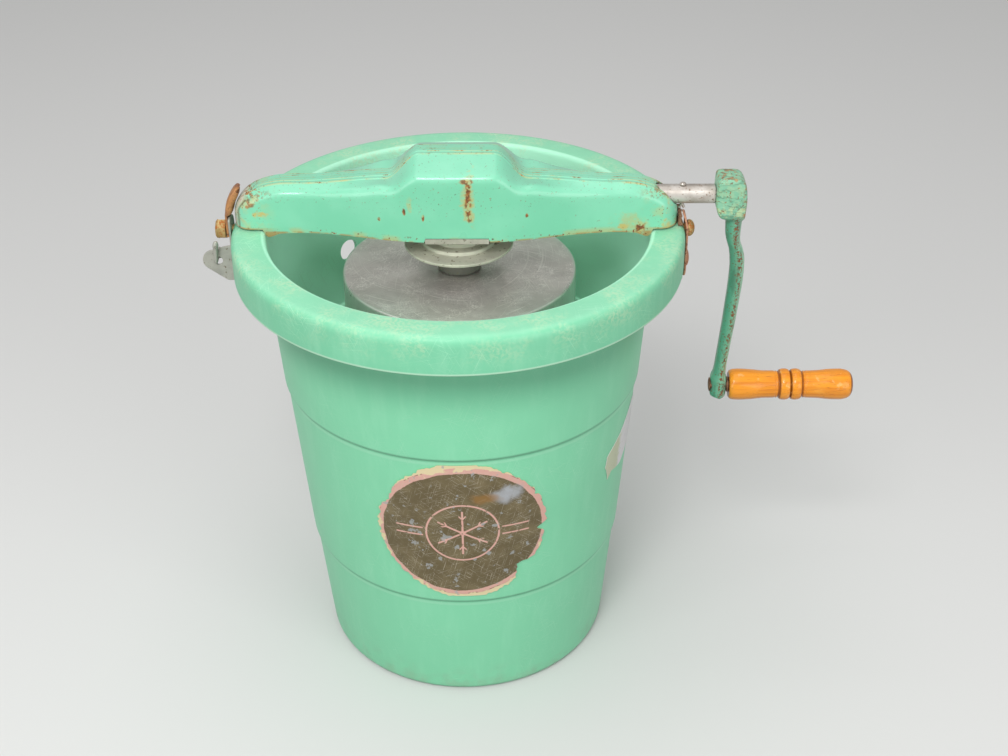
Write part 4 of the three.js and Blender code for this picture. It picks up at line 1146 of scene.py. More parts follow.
FINISHES: dict[str, Finish] = {
    "tub_plastic": MintPlastic(),
    "case_paint": Enamel(),
    "arm_paint": BrushedPaint(),
    "tinplate": ScratchedTin(),
    "zinc": Metal("dull_zinc", (0.66, 0.61, 0.53), (0.50, 0.46, 0.39), (0.22, 0.19, 0.14),
                  0.48, 0.5, 0.08, 3.0, 14.0, 0.08),
    "disc": Metal("turned_zinc", (0.60, 0.60, 0.48), (0.46, 0.46, 0.37), (0.22, 0.20, 0.14),
                  0.52, 0.35, 0.06, 3.0, 20.0, 0.05, turned=True),
    "lever": Metal("lever_zinc", (0.47, 0.47, 0.41), (0.36, 0.365, 0.32), (0.20, 0.17, 0.12),
                   0.50, 0.45, 0.04, 2.6, 9.0, 0.08),
    "steel": Metal("pitted_steel", (0.66, 0.62, 0.57), (0.46, 0.41, 0.36), (0.22, 0.13, 0.08),
                   0.36, 0.75, 0.06, 1.6, 12.0, 0.08),
    "rusty_steel": Metal("rusty_steel", (0.23, 0.115, 0.062), (0.36, 0.18, 0.10), (0.12, 0.05, 0.03),
                         0.60, 0.25, 0.25, 2.2, 7.0, 0.16),
    "keeper": Metal("rusty_keeper", (0.66, 0.33, 0.20), (0.46, 0.21, 0.12), (0.24, 0.10, 0.055),
                    0.50, 0.15, 0.14, 2.4, 9.0, 0.16),
    "strap": Metal("rusty_strap", (0.50, 0.235, 0.085), (0.30, 0.13, 0.06), (0.16, 0.065, 0.035),
                   0.36, 0.25, 0.12, 2.4, 11.0, 0.10),
    "brass": Metal("old_brass", (0.58, 0.42, 0.18), (0.42, 0.27, 0.10), (0.42, 0.15, 0.03),
                   0.42, 0.7, 0.22, 2.4, 6.0, 0.10),
    "bronze": Metal("plain_bronze", (0.45, 0.28, 0.12), (0.34, 0.20, 0.08), (0.10, 0.06, 0.03),
                    0.45, 0.9, 0.1),
    "cast_iron": Metal("tinned_iron", (0.28, 0.28, 0.27), (0.20, 0.20, 0.19), (0.10, 0.07, 0.05),
                       0.58, 0.8, 0.15, 3.0, 12.0, 0.2),
    "varnished_wood": VarnishedWood(),
    "plain_wood": PlainWood(),
    "label": WornPrint(),
    "paper": BarePaper(),
}


# Sub-assemblies
@dataclass
class Assembly:
    """A sub-assembly: its sizes, and the looks that its pieces take."""

    looks: dict[str, bpy.types.Material]

    def add(self, name: str, patches: Sequence[Patch], body: str, slot: str, replaces: Sequence[str] = (),
            look: str = "", cuts: Sequence[Sequence[Patch]] = (), edge: float = 0.0,
            crease: float = 35.0) -> None:
        """Makes one finished piece.

        Args:
            name: Name of the piece.
            patches: Its skin.
            body: The moving body it rides on.
            slot: The record's material slot.
            replaces: Solids that it stands for.
            look: Its finish, where that isn't the slot's own.
            cuts: Closed shapes cut out of it.
            edge: Width of its rounded edges in millimetres, or zero.
            crease: Angle past which an edge stays sharp, in degrees.
        """
        piece = make_mesh(name, patches)
        if cuts:
            carve(piece, cuts)
        if edge:
            soften(piece, edge)
        piece.data.polygons.foreach_set("use_smooth", np.ones(len(piece.data.polygons), bool))
        piece.data.set_sharp_from_angle(angle=np.radians(crease))
        piece.data.materials.clear()
        piece.data.materials.append(self.looks[look or slot])
        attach(piece, body)
        if replaces:
            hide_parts(*replaces)
        log.info("%s: %d faces on %s", name, len(piece.data.polygons), body)


@dataclass
class Tub(Assembly):
    """The ice tub: three tapered stretches with a small ledge between them, under a wide hollow rim."""

    base_radius: float = 102.2
    lower_radius: float = 110.3
    lower_height: float = 91.1
    upper_radius: float = 121.6
    upper_height: float = 217.0
    neck_radius: float = 128.9
    ledge: float = 1.5
    wall: float = 4.0
    rim_radius: float = 149.5
    rim_top: float = 324.5
    rim_foot: float = 298.3
    lip_radius: float = 127.0
    drain_radius: float = 8.0
    drain_height: float = 256.5
    drain_azimuth: float = 134.0
    ear_half: float = 12.0
    ear_foot: float = 286.0

    def profile(self) -> Array:
        """The wall's section from under the floor, up the outside, over the rim and down the inside.

        Returns:
            Rows of radius and height, from the axis back to it.
        """
        base, lower, upper, neck = self.base_radius, self.lower_radius, self.upper_radius, self.neck_radius
        low, high, foot, top = self.lower_height, self.upper_height, self.rim_foot, self.rim_top
        ledge, wall, rim = self.ledge, self.wall, self.rim_radius
        return rounded([
            (0, 0, 0), (22, 0, 1), (24, 2.5, 1), (88.2, 2.5, 1), (90.2, 0, 1), (base - 3, 0, 1.2),
            (base + 0.27, 3, 2.5), (lower, low, 0.5), (lower + ledge, low + 1, 0.7), (upper, high, 0.5),
            (upper + ledge, high + 1, 0.7), (neck, foot, 2), (neck + 1.2, top - wall, 2),
            (rim - wall, top - wall, 2), (rim - wall, foot, 1), (rim, foot, 1.2), (rim, top, 6.5),
            (self.lip_radius, top, 3.6), (neck - wall, foot, 3), (upper + ledge - wall, high + 1, 1),
            (upper - wall, high, 1), (lower + ledge - wall, low + 1, 1), (lower - wall, low, 1),
            (base - wall, 11, 3), (base - wall - 3, 8, 2), (27, 8, 4), (24, 22, 2), (0, 22, 0)], spacing=7)

    def ear(self, side: int) -> list[Patch]:
        """The solid lump under the rim at one end, in the shape of a piece of a ring.

        Args:
            side: 1 for the right end and -1 for the left.

        Returns:
            The patches of a closed skin.
        """
        angle = np.arcsin(np.linspace(-1, 1, 9) * self.ear_half / self.rim_radius)[None, :]
        height = np.linspace(self.ear_foot, self.rim_top - self.wall + 0.5, 7)[:, None]
        direction = joined(side * np.cos(angle), np.sin(angle), height * 0)
        up = joined(0.0, 0.0, height + angle * 0)
        return slab(direction * (self.rim_radius - 0.15) + up, direction * (self.neck_radius - 0.8) + up)

    def wall_radius(self, height: Array) -> Array:
        """Radius of the outer wall between the two ledges."""
        share = (height - self.lower_height) / (self.upper_height - self.lower_height)
        return self.lower_radius + self.ledge + (self.upper_radius - self.lower_radius - self.ledge) * share

    def on_wall(self, azimuth: Array, height: Array, lift: float) -> Array:
        """Places on the middle stretch of the wall, azimuths in radians, raised by a lift."""
        radius = self.wall_radius(height) + lift
        return joined(radius * np.cos(azimuth), radius * np.sin(azimuth), height)

    def build(self) -> None:
        """Makes the tub and its two ears."""
        drain = swung(rod(self.drain_radius, 90, 160, 48, self.drain_height), self.drain_azimuth)
        self.add("tub_wall", turned(self.profile(), 240), "tub", "tub_plastic", ["tub"], cuts=[drain])
        for name, side in (("tub_ear_left", -1), ("tub_ear_right", 1)):
            self.add(name, self.ear(side), "tub", "tub_plastic", edge=1.5)


@dataclass
class Label(Assembly):
    """The worn label on the tub's front and the scrap of a torn sticker on its right."""

    tub: Tub
    azimuth: float = -88.7
    centre: float = 155.8
    half_wide: float = 58.5
    half_high: float = 58.0
    gap: float = 0.35
    thickness: float = 0.35
    bites: Table = ((6.18, 0.11, 0.05), (5.55, 0.13, 0.13), (2.65, 0.05, 0.12))
    scrap_outline: Table = (
        (-32, 158), (-29.5, 162), (-27.5, 161), (-21, 158), (-15, 163), (-9, 172), (-5, 186), (-8, 199),
        (-14, 204), (-19, 197), (-24, 189), (-29, 184), (-33.4, 178.5), (-34, 170))

    def round_label(self) -> list[Patch]:
        """An oval of paper laid on the wall: ring t of the grid is t times the torn outline.

        A bite at an angle, of a depth and a width, takes depth exp(-((a - angle) / width)^2) away.

        Returns:
            The patches of a closed skin.
        """
        angle = np.linspace(0, CIRCLE, 601)
        bitten = sum(deep * np.exp(-((angle - at) / wide) ** 2) for at, deep, wide in self.bites)
        reach = 0.985 - 0.010 * ragged(angle, 5, 60) - 0.050 * ragged(angle, 11, 110, 22) - bitten
        flattened = 1 - 0.055 * np.cos(2 * (angle - 0.25))
        t = np.linspace(0, 1, 40)[:, None]
        sideways = t * reach * self.half_wide * np.cos(angle)
        up = np.clip(t * reach * flattened * self.half_high * np.sin(angle) * 0.985, -57.8, 57.8)
        height = self.centre + up
        azimuth = np.radians(self.azimuth) + sideways / self.tub.wall_radius(height)
        outer = self.tub.on_wall(azimuth, height, self.gap + self.thickness)
        return slab(outer, self.tub.on_wall(azimuth, height, self.gap), joined(sideways, up), closed=True)

    def scrap(self) -> list[Patch]:
        """A torn scrap: a plate with its outline in degrees and heights, laid on the wall.

        Returns:
            The patches of a closed skin.
        """
        corners = [(*point, 0.8) for point in (*self.scrap_outline, self.scrap_outline[0])]
        line = rounded(corners, spacing=1.2)[:-1]
        turn = np.linspace(0, CIRCLE, len(line))
        line = line + joined(ragged(turn, 3), ragged(turn, 4)) * 0.55

        def place(flat: Array, depth: float) -> Array:
            """Wraps degrees and heights round the wall."""
            return self.tub.on_wall(np.radians(flat[..., 0]), flat[..., 1], 0.15 + depth)

        patches = plate(line, place, 0.3)
        for patch in patches[:2]:
            patch.flat = (patch.flat - line.mean(0)) * np.array([2.0, 1.0])
        return patches

    def build(self) -> None:
        """Makes both papers."""
        self.add("label_paper", self.round_label(), "tub", "paper", ["front_label"], "label")
        self.add("sticker_scrap", self.scrap(), "tub", "paper")


@dataclass
class Can(Assembly):
    """The tinned can in the tub and its lid with a square hole."""

    radius: float = 76.9
    sheet: float = 0.9
    foot: float = 31.0
    floor: float = 34.0
    top: float = 289.6
    lid_radius: float = 78.3
    lid_top: float = 291.0
    lid_skirt: float = 27.0
    lid_sheet: float = 1.0
    hole_half: float = 9.9

    def build(self) -> None:
        """Makes the can and the lid, whose hole is square and fades to round within 12 mm."""
        outer, inner, bottom = self.radius, self.radius - self.sheet, self.floor + self.sheet
        wall = rounded([
            (0, self.floor, 0), (inner, self.floor, 0.3), (inner, self.foot, 0.2), (outer, self.foot, 0.3),
            (outer, self.top, 0.3), (inner, self.top, 0.3), (inner, bottom, 2), (0, bottom, 0)], spacing=12)
        self.add("can_wall", turned(wall, 160), "can", "tinplate", ["can"])
        wide, top, hole = self.lid_radius, self.lid_top, self.hole_half
        inside, skirt, under = wide - self.lid_sheet, top - self.lid_skirt, top - self.lid_sheet
        lid = rounded([
            (hole, under, 0), (hole, top, 0.2), (wide, top, 1.6), (wide, skirt, 0.4), (inside, skirt, 0.4),
            (inside, under, 1), (hole, under, 0)], spacing=4)
        square = 1 - np.clip((lid[:, 0] - hole) / 12, 0, 1)
        self.add("lid_cap", turned(lid, 192, flatness=square), "lid", "tinplate", ["can_lid"])


@dataclass
class Drive(Assembly):
    """The stepped disc on the lower gear, whose square end enters the lid."""

    radius: float = 36.3
    height: float = 311.0
    hub_radius: float = 14.6
    hub_foot: float = 291.6
    square_half: float = 9.5
    square_foot: float = 286.9
    top: float = 321.9

    def build(self) -> None:
        """Makes the disc, hub and square in one turned piece. Only the square's rows are flat-sided."""
        high, wide, hub = self.height, self.radius, self.hub_radius
        foot, half = self.hub_foot, self.square_half
        line = rounded([
            (0, self.square_foot, 0), (half, self.square_foot, 0.4), (half, foot, 0.01), (hub, foot, 0.4),
            (hub, high - 8.5, 1.5), (wide - 2, high - 1.7, 0.5), (wide, high - 1.7, 0.3), (wide, high, 0.7),
            (wide * 0.86, high + 0.35, 0.3), (wide * 0.70, high + 1.0, 0.5), (wide * 0.68, high + 3, 0.6),
            (wide * 0.53, high + 3.5, 0.5), (wide * 0.51, high + 6, 0.6), (14, high + 6.6, 0.4),
            (14, self.top, 0.4), (0, self.top, 0)], spacing=3)
        radius, up = line.T
        square = np.where(up < foot + 1e-3, 1 - np.clip((radius - half) / 1.5, 0, 1), 0)
        square[(radius > half + 1e-6) & (up > foot - 1e-3)] = 0
        skin = turned(line, 192, flatness=square)
        self.add("drive_plate", skin, "can_drive", "zinc", ["drive_disc"], "disc")


@dataclass
class Case(Assembly):
    """The pressed gear case: two half shells that meet on the case's middle line."""

    left: float = 147.0
    right: float = 144.0
    arm_top: float = 356.5
    arm_rise: Row = (3.4, 44.0, 104.0)
    hump_top: float = 377.0
    hump: Row = (24.0, 46.5)
    end_depth: float = 13.8
    hump_depth: float = 28.2
    bulge: Row = (16.0, 106.0)
    wall: float = 1.2
    end_corner: float = 24.0
    end_taper: float = 37.0
    plan_corner: float = 12.0
    shoulder: float = 5.8
    slopes: Table = ((0, 18.7), (27, 18.7), (36, 12), (48, -7), (60, 4), (84, 22), (106, 34), (150, 34))
    rib_half: float = 7.0
    rib_step: float = 0.9
    seam: float = 0.15
    foot_line: Table = (
        (0, 326.3), (20.4, 326.3), (21.5, 323.5), (100, 323.5), (116, 322.9), (121.5, 320.9),
        (123.5, 320.45), (125.4, 320.6), (127.2, 325.5), (131, 325.8), (150, 325.8))
    shaft_hole: float = 7.35
    shaft_height: float = 344.4

    def stations(self, inset: float) -> Array:
        """Places along X, with an end's places on its quarter ellipse where sin runs to one.

        Args:
            inset: Distance inside the outer face.

        Returns:
            The places, from left to right.
        """
        def half(end: float) -> Array:
            """Places from the middle to one end.

            Args:
                end: How far the end is from the middle.

            Returns:
                The places, in rising order.
            """
            start = end - self.end_taper
            notch = (20.4, 20.95, 21.5)
            plain = np.unique(np.r_[np.arange(0, 56, 1.25), np.arange(56, start, 2.5), notch, start])
            return np.r_[plain, start + (self.end_taper - inset) * np.sin(np.linspace(0, np.pi / 2, 36)[1:])]
        return np.r_[-half(self.left)[:0:-1], half(self.right)]

    def section(self, inset: float) -> Array:
        """Half sections from the lower edge up to the seam, at every station.

        The wall is upright, the shoulder an arc, the crown a straight slope, and the rib a small smooth
        step. Height falls on a quarter ellipse towards each end, and depth on a quarter circle.

        Args:
            inset: Distance inside the outer face.

        Returns:
            A grid of points, stations by places round the section, on the front side.
        """
        x = self.stations(inset)[:, None]
        away = np.abs(x)
        end = np.where(x < 0, self.left, self.right) - inset
        taper, plan, seam = self.end_taper - inset, self.plan_corner - inset, self.seam
        arm = self.arm_top + self.arm_rise[0] * fade(away, *self.arm_rise[1:])
        top = arm + (self.hump_top - arm) * fade(away, *self.hump) - inset
        top = top - quarter_drop(away, end - taper, taper, self.end_corner - inset)
        depth = self.end_depth + (self.hump_depth - self.end_depth) * fade(away, *self.bulge) - inset
        depth = depth - quarter_drop(away, end - plan, plan, self.end_depth - inset - seam - 0.6)
        shrink = np.clip(depth / (self.end_depth - inset), 0.02, 1)
        rib, radius, low = self.rib_half * shrink, (self.shoulder - inset * 0.5) * shrink, 0.7 * shrink
        slope = np.radians(eased(away[:, 0], *np.array(self.slopes).T))[:, None]
        lean = np.pi / 2 - slope
        bend = depth - radius + radius * np.cos(lean)
        crown_high = top - self.rib_step
        centre = crown_high - (bend - rib) * np.tan(slope) - radius * np.sin(lean)
        crown_low = centre + radius * np.sin(lean)
        foot = eased(away[:, 0], *np.array(self.foot_line).T)[:, None]
        up, turn = np.linspace(0, 1, 14), lean * np.linspace(0, 1, 9)[1:]
        down, step, flat = np.linspace(0, 1, 12)[1:], np.linspace(0, 1, 6)[1:], np.linspace(1, 0, 7)[1:]
        smooth = self.rib_step * step ** 2 * (3 - 2 * step)
        parts = (
            (depth, foot + (centre - foot) * up),
            (depth - radius + radius * np.cos(turn), centre + radius * np.sin(turn)),
            (bend + (rib + 0.8 * shrink - bend) * down, crown_low + (crown_high - crown_low) * down),
            (rib + 0.8 * shrink * (1 - step), crown_high + smooth * 0.6),
            (rib * (1 - 0.38 * step), crown_high + 0.6 * self.rib_step),
            (rib * 0.62 - low * step, crown_high + self.rib_step * 0.6 + smooth * 0.4),
            (seam + (rib * 0.62 - low - seam) * flat, top))
        y, z = np.concatenate([np.broadcast_arrays(*part) for part in parts], 2)
        return joined(x, -np.maximum(y, seam), np.maximum(z, foot))

    def build(self) -> None:
        """Makes the two halves, cut open for the shaft on the right."""
        outer, inner = self.section(0), self.section(self.wall)
        inner[:, 0, 2] = outer[:, 0, 2]
        hole = rod(self.shaft_hole, 100, 160, 48, self.shaft_height)
        for name, side, node in (("case_front", 1, "shell_front"), ("case_rear", -1, "shell_rear")):
            way = np.array([1, side, 1])
            self.add(name, slab(outer * way, inner * way), "gear_case", "case_paint", [node], cuts=[hole],
                     crease=30)


@dataclass
class LatchSide(Assembly):
    """The left end: the case's strap over the rim, the hex bolt, the lever with its fin, and the cotter."""

    bolt_height: float = 319.5
    bolt_radius: float = 3.0
    bolt_end: float = -138.0
    lever_inner: float = 149.8
    lever_thickness: float = 1.4
    strap_thickness: float = 2.0
    strap_foot: float = 316.0
    strap_bend: Row = (329, 335)
    strap: Table = (
        (-153.3, 316.0, 1.8, 5.6), (-153.3, 324.0, 1.8, 5.6), (-153.3, 330.8, 1.8, 5.6),
        (-153.1, 333.6, 4.8, 6.3), (-152.7, 336.4, 5.4, 6.5), (-152.0, 339.2, 5.5, 6.5),
        (-151.1, 342.0, 5.6, 6.5), (-149.1, 345.9, 5.5, 6.4), (-147.3, 348.6, 5.2, 6.2),
        (-145.7, 350.2, 4.4, 6.0), (-144.4, 350.9, 3.4, 5.4), (-143.1, 350.8, 2.2, 4.6),
        (-142.3, 350.3, 1.2, 3.4))
    head_radius: float = 6.8
    head_length: float = 6.9
    lever_foot: float = 285.0
    lever_top: float = 330.2
    lever_half: float = 8.0
    fin_reach: float = 19.48
    fin_top: float = 311.0
    fin_hole: float = 2.9
    hole_drop: float = 11.2
    wire_half: float = 0.9
    eye_half: float = 3.0

    def strap_skin(self) -> list[Patch]:
        """A bar lofted along a smooth curve from its forked foot up past the rim to the case's end.

        A row of the table is the outer face's place, the thickness towards the case and the half
        width. The section is the superellipse |u/a|^n + |v/b|^n = 1, flat at the foot and round above.

        Returns:
            One patch, closed to a point at both ends.
        """
        table = np.array(self.strap)
        way = np.r_[0, np.cumsum(np.linalg.norm(np.diff(table[:, :2], axis=0), axis=1))]
        line = eased(np.linspace(0, way[-1], 120), way, table)
        along = np.gradient(line[:, :2], axis=0)
        along = along / np.linalg.norm(along, axis=1, keepdims=True)
        inwards = along[:, ::-1] * [1, -1]
        x, z, thick, half = (line[:, i:i + 1] for i in range(4))
        u, v = superellipse(64, 2 / (3.4 + 5.0 * fade(z, *self.strap_bend)))
        depth = thick * (0.5 + 0.5 * u)
        return [Patch(capped(joined(x + inwards[:, :1] * depth, half * v, z + inwards[:, 1:] * depth)))]

    def bolt(self) -> list[Patch]:
        """A chamfered hex head on a round shank.

        Returns:
            The patches of a closed skin.
        """
        seat = -(self.lever_inner + self.lever_thickness + self.strap_thickness + 0.6)
        head, shank, front = self.head_radius * 0.866, self.bolt_radius, seat - self.head_length
        line = rounded([
            (0, front, 0), (head - 0.6, front, 0.3), (head + 0.35, front + 1.2, 0.4),
            (head, front + 1.6, 0.2), (head, seat - 0.4, 0.2), (head - 0.3, seat, 0.2), (shank, seat, 0.2),
            (shank, self.bolt_end, 0.4), (0, self.bolt_end, 0)], spacing=2)
        flatness = np.clip((line[:, 0] - shank - 0.2) / 1.6, 0, 1)
        flatness = flatness * np.where(line[:, 1] < front + 1, 0.45, 1)
        return turned(line, 96, Axis.ALONG_CASE, self.bolt_height, flats=6, flatness=flatness)

    def lever(self) -> list[Patch]:
        """The plate behind the bolt's head, square to the case.

        Returns:
            The patches of a closed skin.
        """
        half, foot, top = self.lever_half, self.lever_foot, self.lever_top
        outline = rounded([
            (half - 0.6, self.bolt_height, 0), (half - 0.8, top - 4.5, 3), (2, top - 0.4, 4),
            (-half + 2.5, top, 1), (-half, top - 1, 1.2), (-half, foot, 1), (half, foot + 3, 2),
            (half - 0.6, self.bolt_height, 0)], 1.5)
        return plate(outline[:-1], across(-self.lever_inner, -1), self.lever_thickness)

    def fin(self) -> list[Patch]:
        """The outward fin with its hole, bent off the plate's front edge.

        Returns:
            The patches of a closed skin.
        """
        inner, foot, top = -self.lever_inner, self.lever_foot, self.fin_top
        outer, nose = inner - self.lever_thickness, 7.5
        angle = np.radians(np.linspace(72, 225, 24))
        middle = np.array([outer - self.fin_reach + nose, top - 3.5 - nose])
        tip = middle + nose * joined(np.cos(angle), np.sin(angle))
        corners = [(inner, foot, 0), (inner, top, 0), (outer - 6, top - 1.2, 2), *((*row, 0) for row in tip),
                   (outer - 4, foot, 1), (inner, foot, 0)]

        def place(flat: Array, depth: float) -> Array:
            """The fin stands in a plane along the case."""
            return joined(flat[..., 0], depth - self.lever_half, flat[..., 1])

        hole = (outer - 9, top - self.hole_drop, self.fin_hole)
        return plate(rounded(corners, 1.5)[:-1], place, self.lever_thickness, hole)

    def cotter(self) -> list[Patch]:
        """A wire through the fin's hole, bent up in front of it and flattened to a tongue at its top.

        Returns:
            The patches of the wire and of its eye.
        """
        x = -(self.lever_inner + self.lever_thickness) - 10.2
        z, front = self.fin_top - self.hole_drop, -self.lever_half - 2.6
        stations = np.linspace(0, 1, 8)
        way = np.array([
            (x, 0.8, z), (x, -5, z), (x, front + 1.6, z - 0.1), (x + 0.1, front + 0.1, z + 1.2),
            (x + 0.3, front, z + 4), (x + 0.6, front, z + 9), (x + 0.9, front, z + 12.5),
            (x + 1.2, front, z + 16)])
        t = np.linspace(0, 1, 90)
        radius = eased(t, stations, np.array([0.9, 1.0, 1.1, 1.2, 1.25, 1.5, 2.0, 1.1]))
        radius = radius * np.sqrt(np.clip(np.minimum(t, 1 - t) / 0.03, 0, 1))
        angle = np.linspace(0, CIRCLE, 60)
        outwards = joined(0, np.cos(angle), np.sin(angle))
        eye = np.array([x, 3.6, z]) + self.eye_half * outwards
        turn = np.linspace(0, CIRCLE, 17)[None, :, None]
        ring = np.cos(turn) * outwards[:, None] + np.sin(turn) * np.array([1.0, 0, 0])
        return [*swept(eased(t, stations, way), radius), Patch(eye[:, None] + self.wire_half * ring)]

    def build(self) -> None:
        """Makes the strap, the bolt, the two flats of the lever and the cotter."""
        slot, foot = self.bolt_radius + 0.6, self.strap_foot - 6
        turn = np.linspace(0, np.pi, 24)
        arch = joined(slot * np.cos(turn), self.bolt_height + slot * np.sin(turn))
        fork = plate(np.vstack([arch, [(-slot, foot), (slot, foot)]]), across(-160.0, 1), 20.0, rings=3)
        self.add("strap_bar", self.strap_skin(), "gear_case", "rusty_steel", ["left_strap"], "strap", [fork])
        self.add("hex_bolt", self.bolt(), "tub", "brass", ["latch_bolt"])
        self.add("lever_plate", self.lever(), "latch", "zinc", ["latch_lever"], "lever", edge=0.25)
        self.add("lever_fin", self.fin(), "latch", "zinc", ["latch_lever"], "lever", edge=0.3)
        self.add("cotter_wire", self.cotter(), "latch", "steel", ["latch_cotter"], "lever", crease=60)


@dataclass
class KeeperSide(Assembly):
    """The right end: the rusty keeper plate with its dome bolt and its rivet."""

    inner: float = 149.8
    thickness: float = 1.4
    half: float = 9.5
    top: float = 331.8
    foot: float = 284.8
    lean: float = 2.4
    bend: float = 322.5
    head_radius: float = 5.6
    shank_end: float = 139.0
    bolt_height: float = 319.5
    rivet_height: float = 297.5

    def button(self, height: float, shank: float) -> Array:
        """The profile of a domed head with its shank: an ellipse's quarter over an edge.

        Args:
            height: Of the dome.
            shank: Radius of the shank.

        Returns:
            Rows of radius and place along the axis.
        """
        seat = self.inner + self.thickness + 0.3
        angle = np.linspace(0, np.pi / 2, 14)
        cap = joined(self.head_radius * np.sin(angle), seat + height * (0.22 + 0.78 * np.cos(angle)))
        below = [(self.head_radius - 0.2, seat), (shank, seat), (shank, self.shank_end), (0, self.shank_end)]
        return np.vstack([cap, below])

    def plate_outline(self) -> Array:
        """Two half circles joined by straight sides.

        Returns:
            Points of the outline, one a row.
        """
        angle = np.radians(np.linspace(0, 180, 26))
        arc = self.half * joined(np.cos(angle), np.sin(angle))
        upper = arc + [0, self.top - self.half]
        lower = -arc + [0, self.foot + self.half]
        return divided(np.vstack([upper, lower, upper[:1]]), 1.5)[:-1]

    def build(self) -> None:
        """Makes the plate, the bolt and the rivet."""
        def place(flat: Array, depth: float) -> Array:
            """The plate stands on the rim and leans in towards the case above it."""
            above = np.clip((flat[..., 1] - self.bend) / (self.top - self.bend), 0, 1)
            return joined(self.inner + depth - self.lean * above ** 1.4, flat[..., 0], flat[..., 1])

        self.add("keeper_bar", plate(self.plate_outline(), place, self.thickness), "tub", "rusty_steel",
                 ["keeper_plate"], "keeper", edge=0.4)
        for name, height, dome, radius, node, slot, look in (
                ("dome_bolt", self.bolt_height, 4.7, 3.0, "keeper_bolt", "brass", ""),
                ("flat_rivet", self.rivet_height, 2.1, 2.4, "keeper_rivet", "rusty_steel", "keeper")):
            skin = turned(self.button(dome, radius), 64, Axis.ALONG_CASE, height)
            self.add(name, skin, "tub", slot, [node], look)


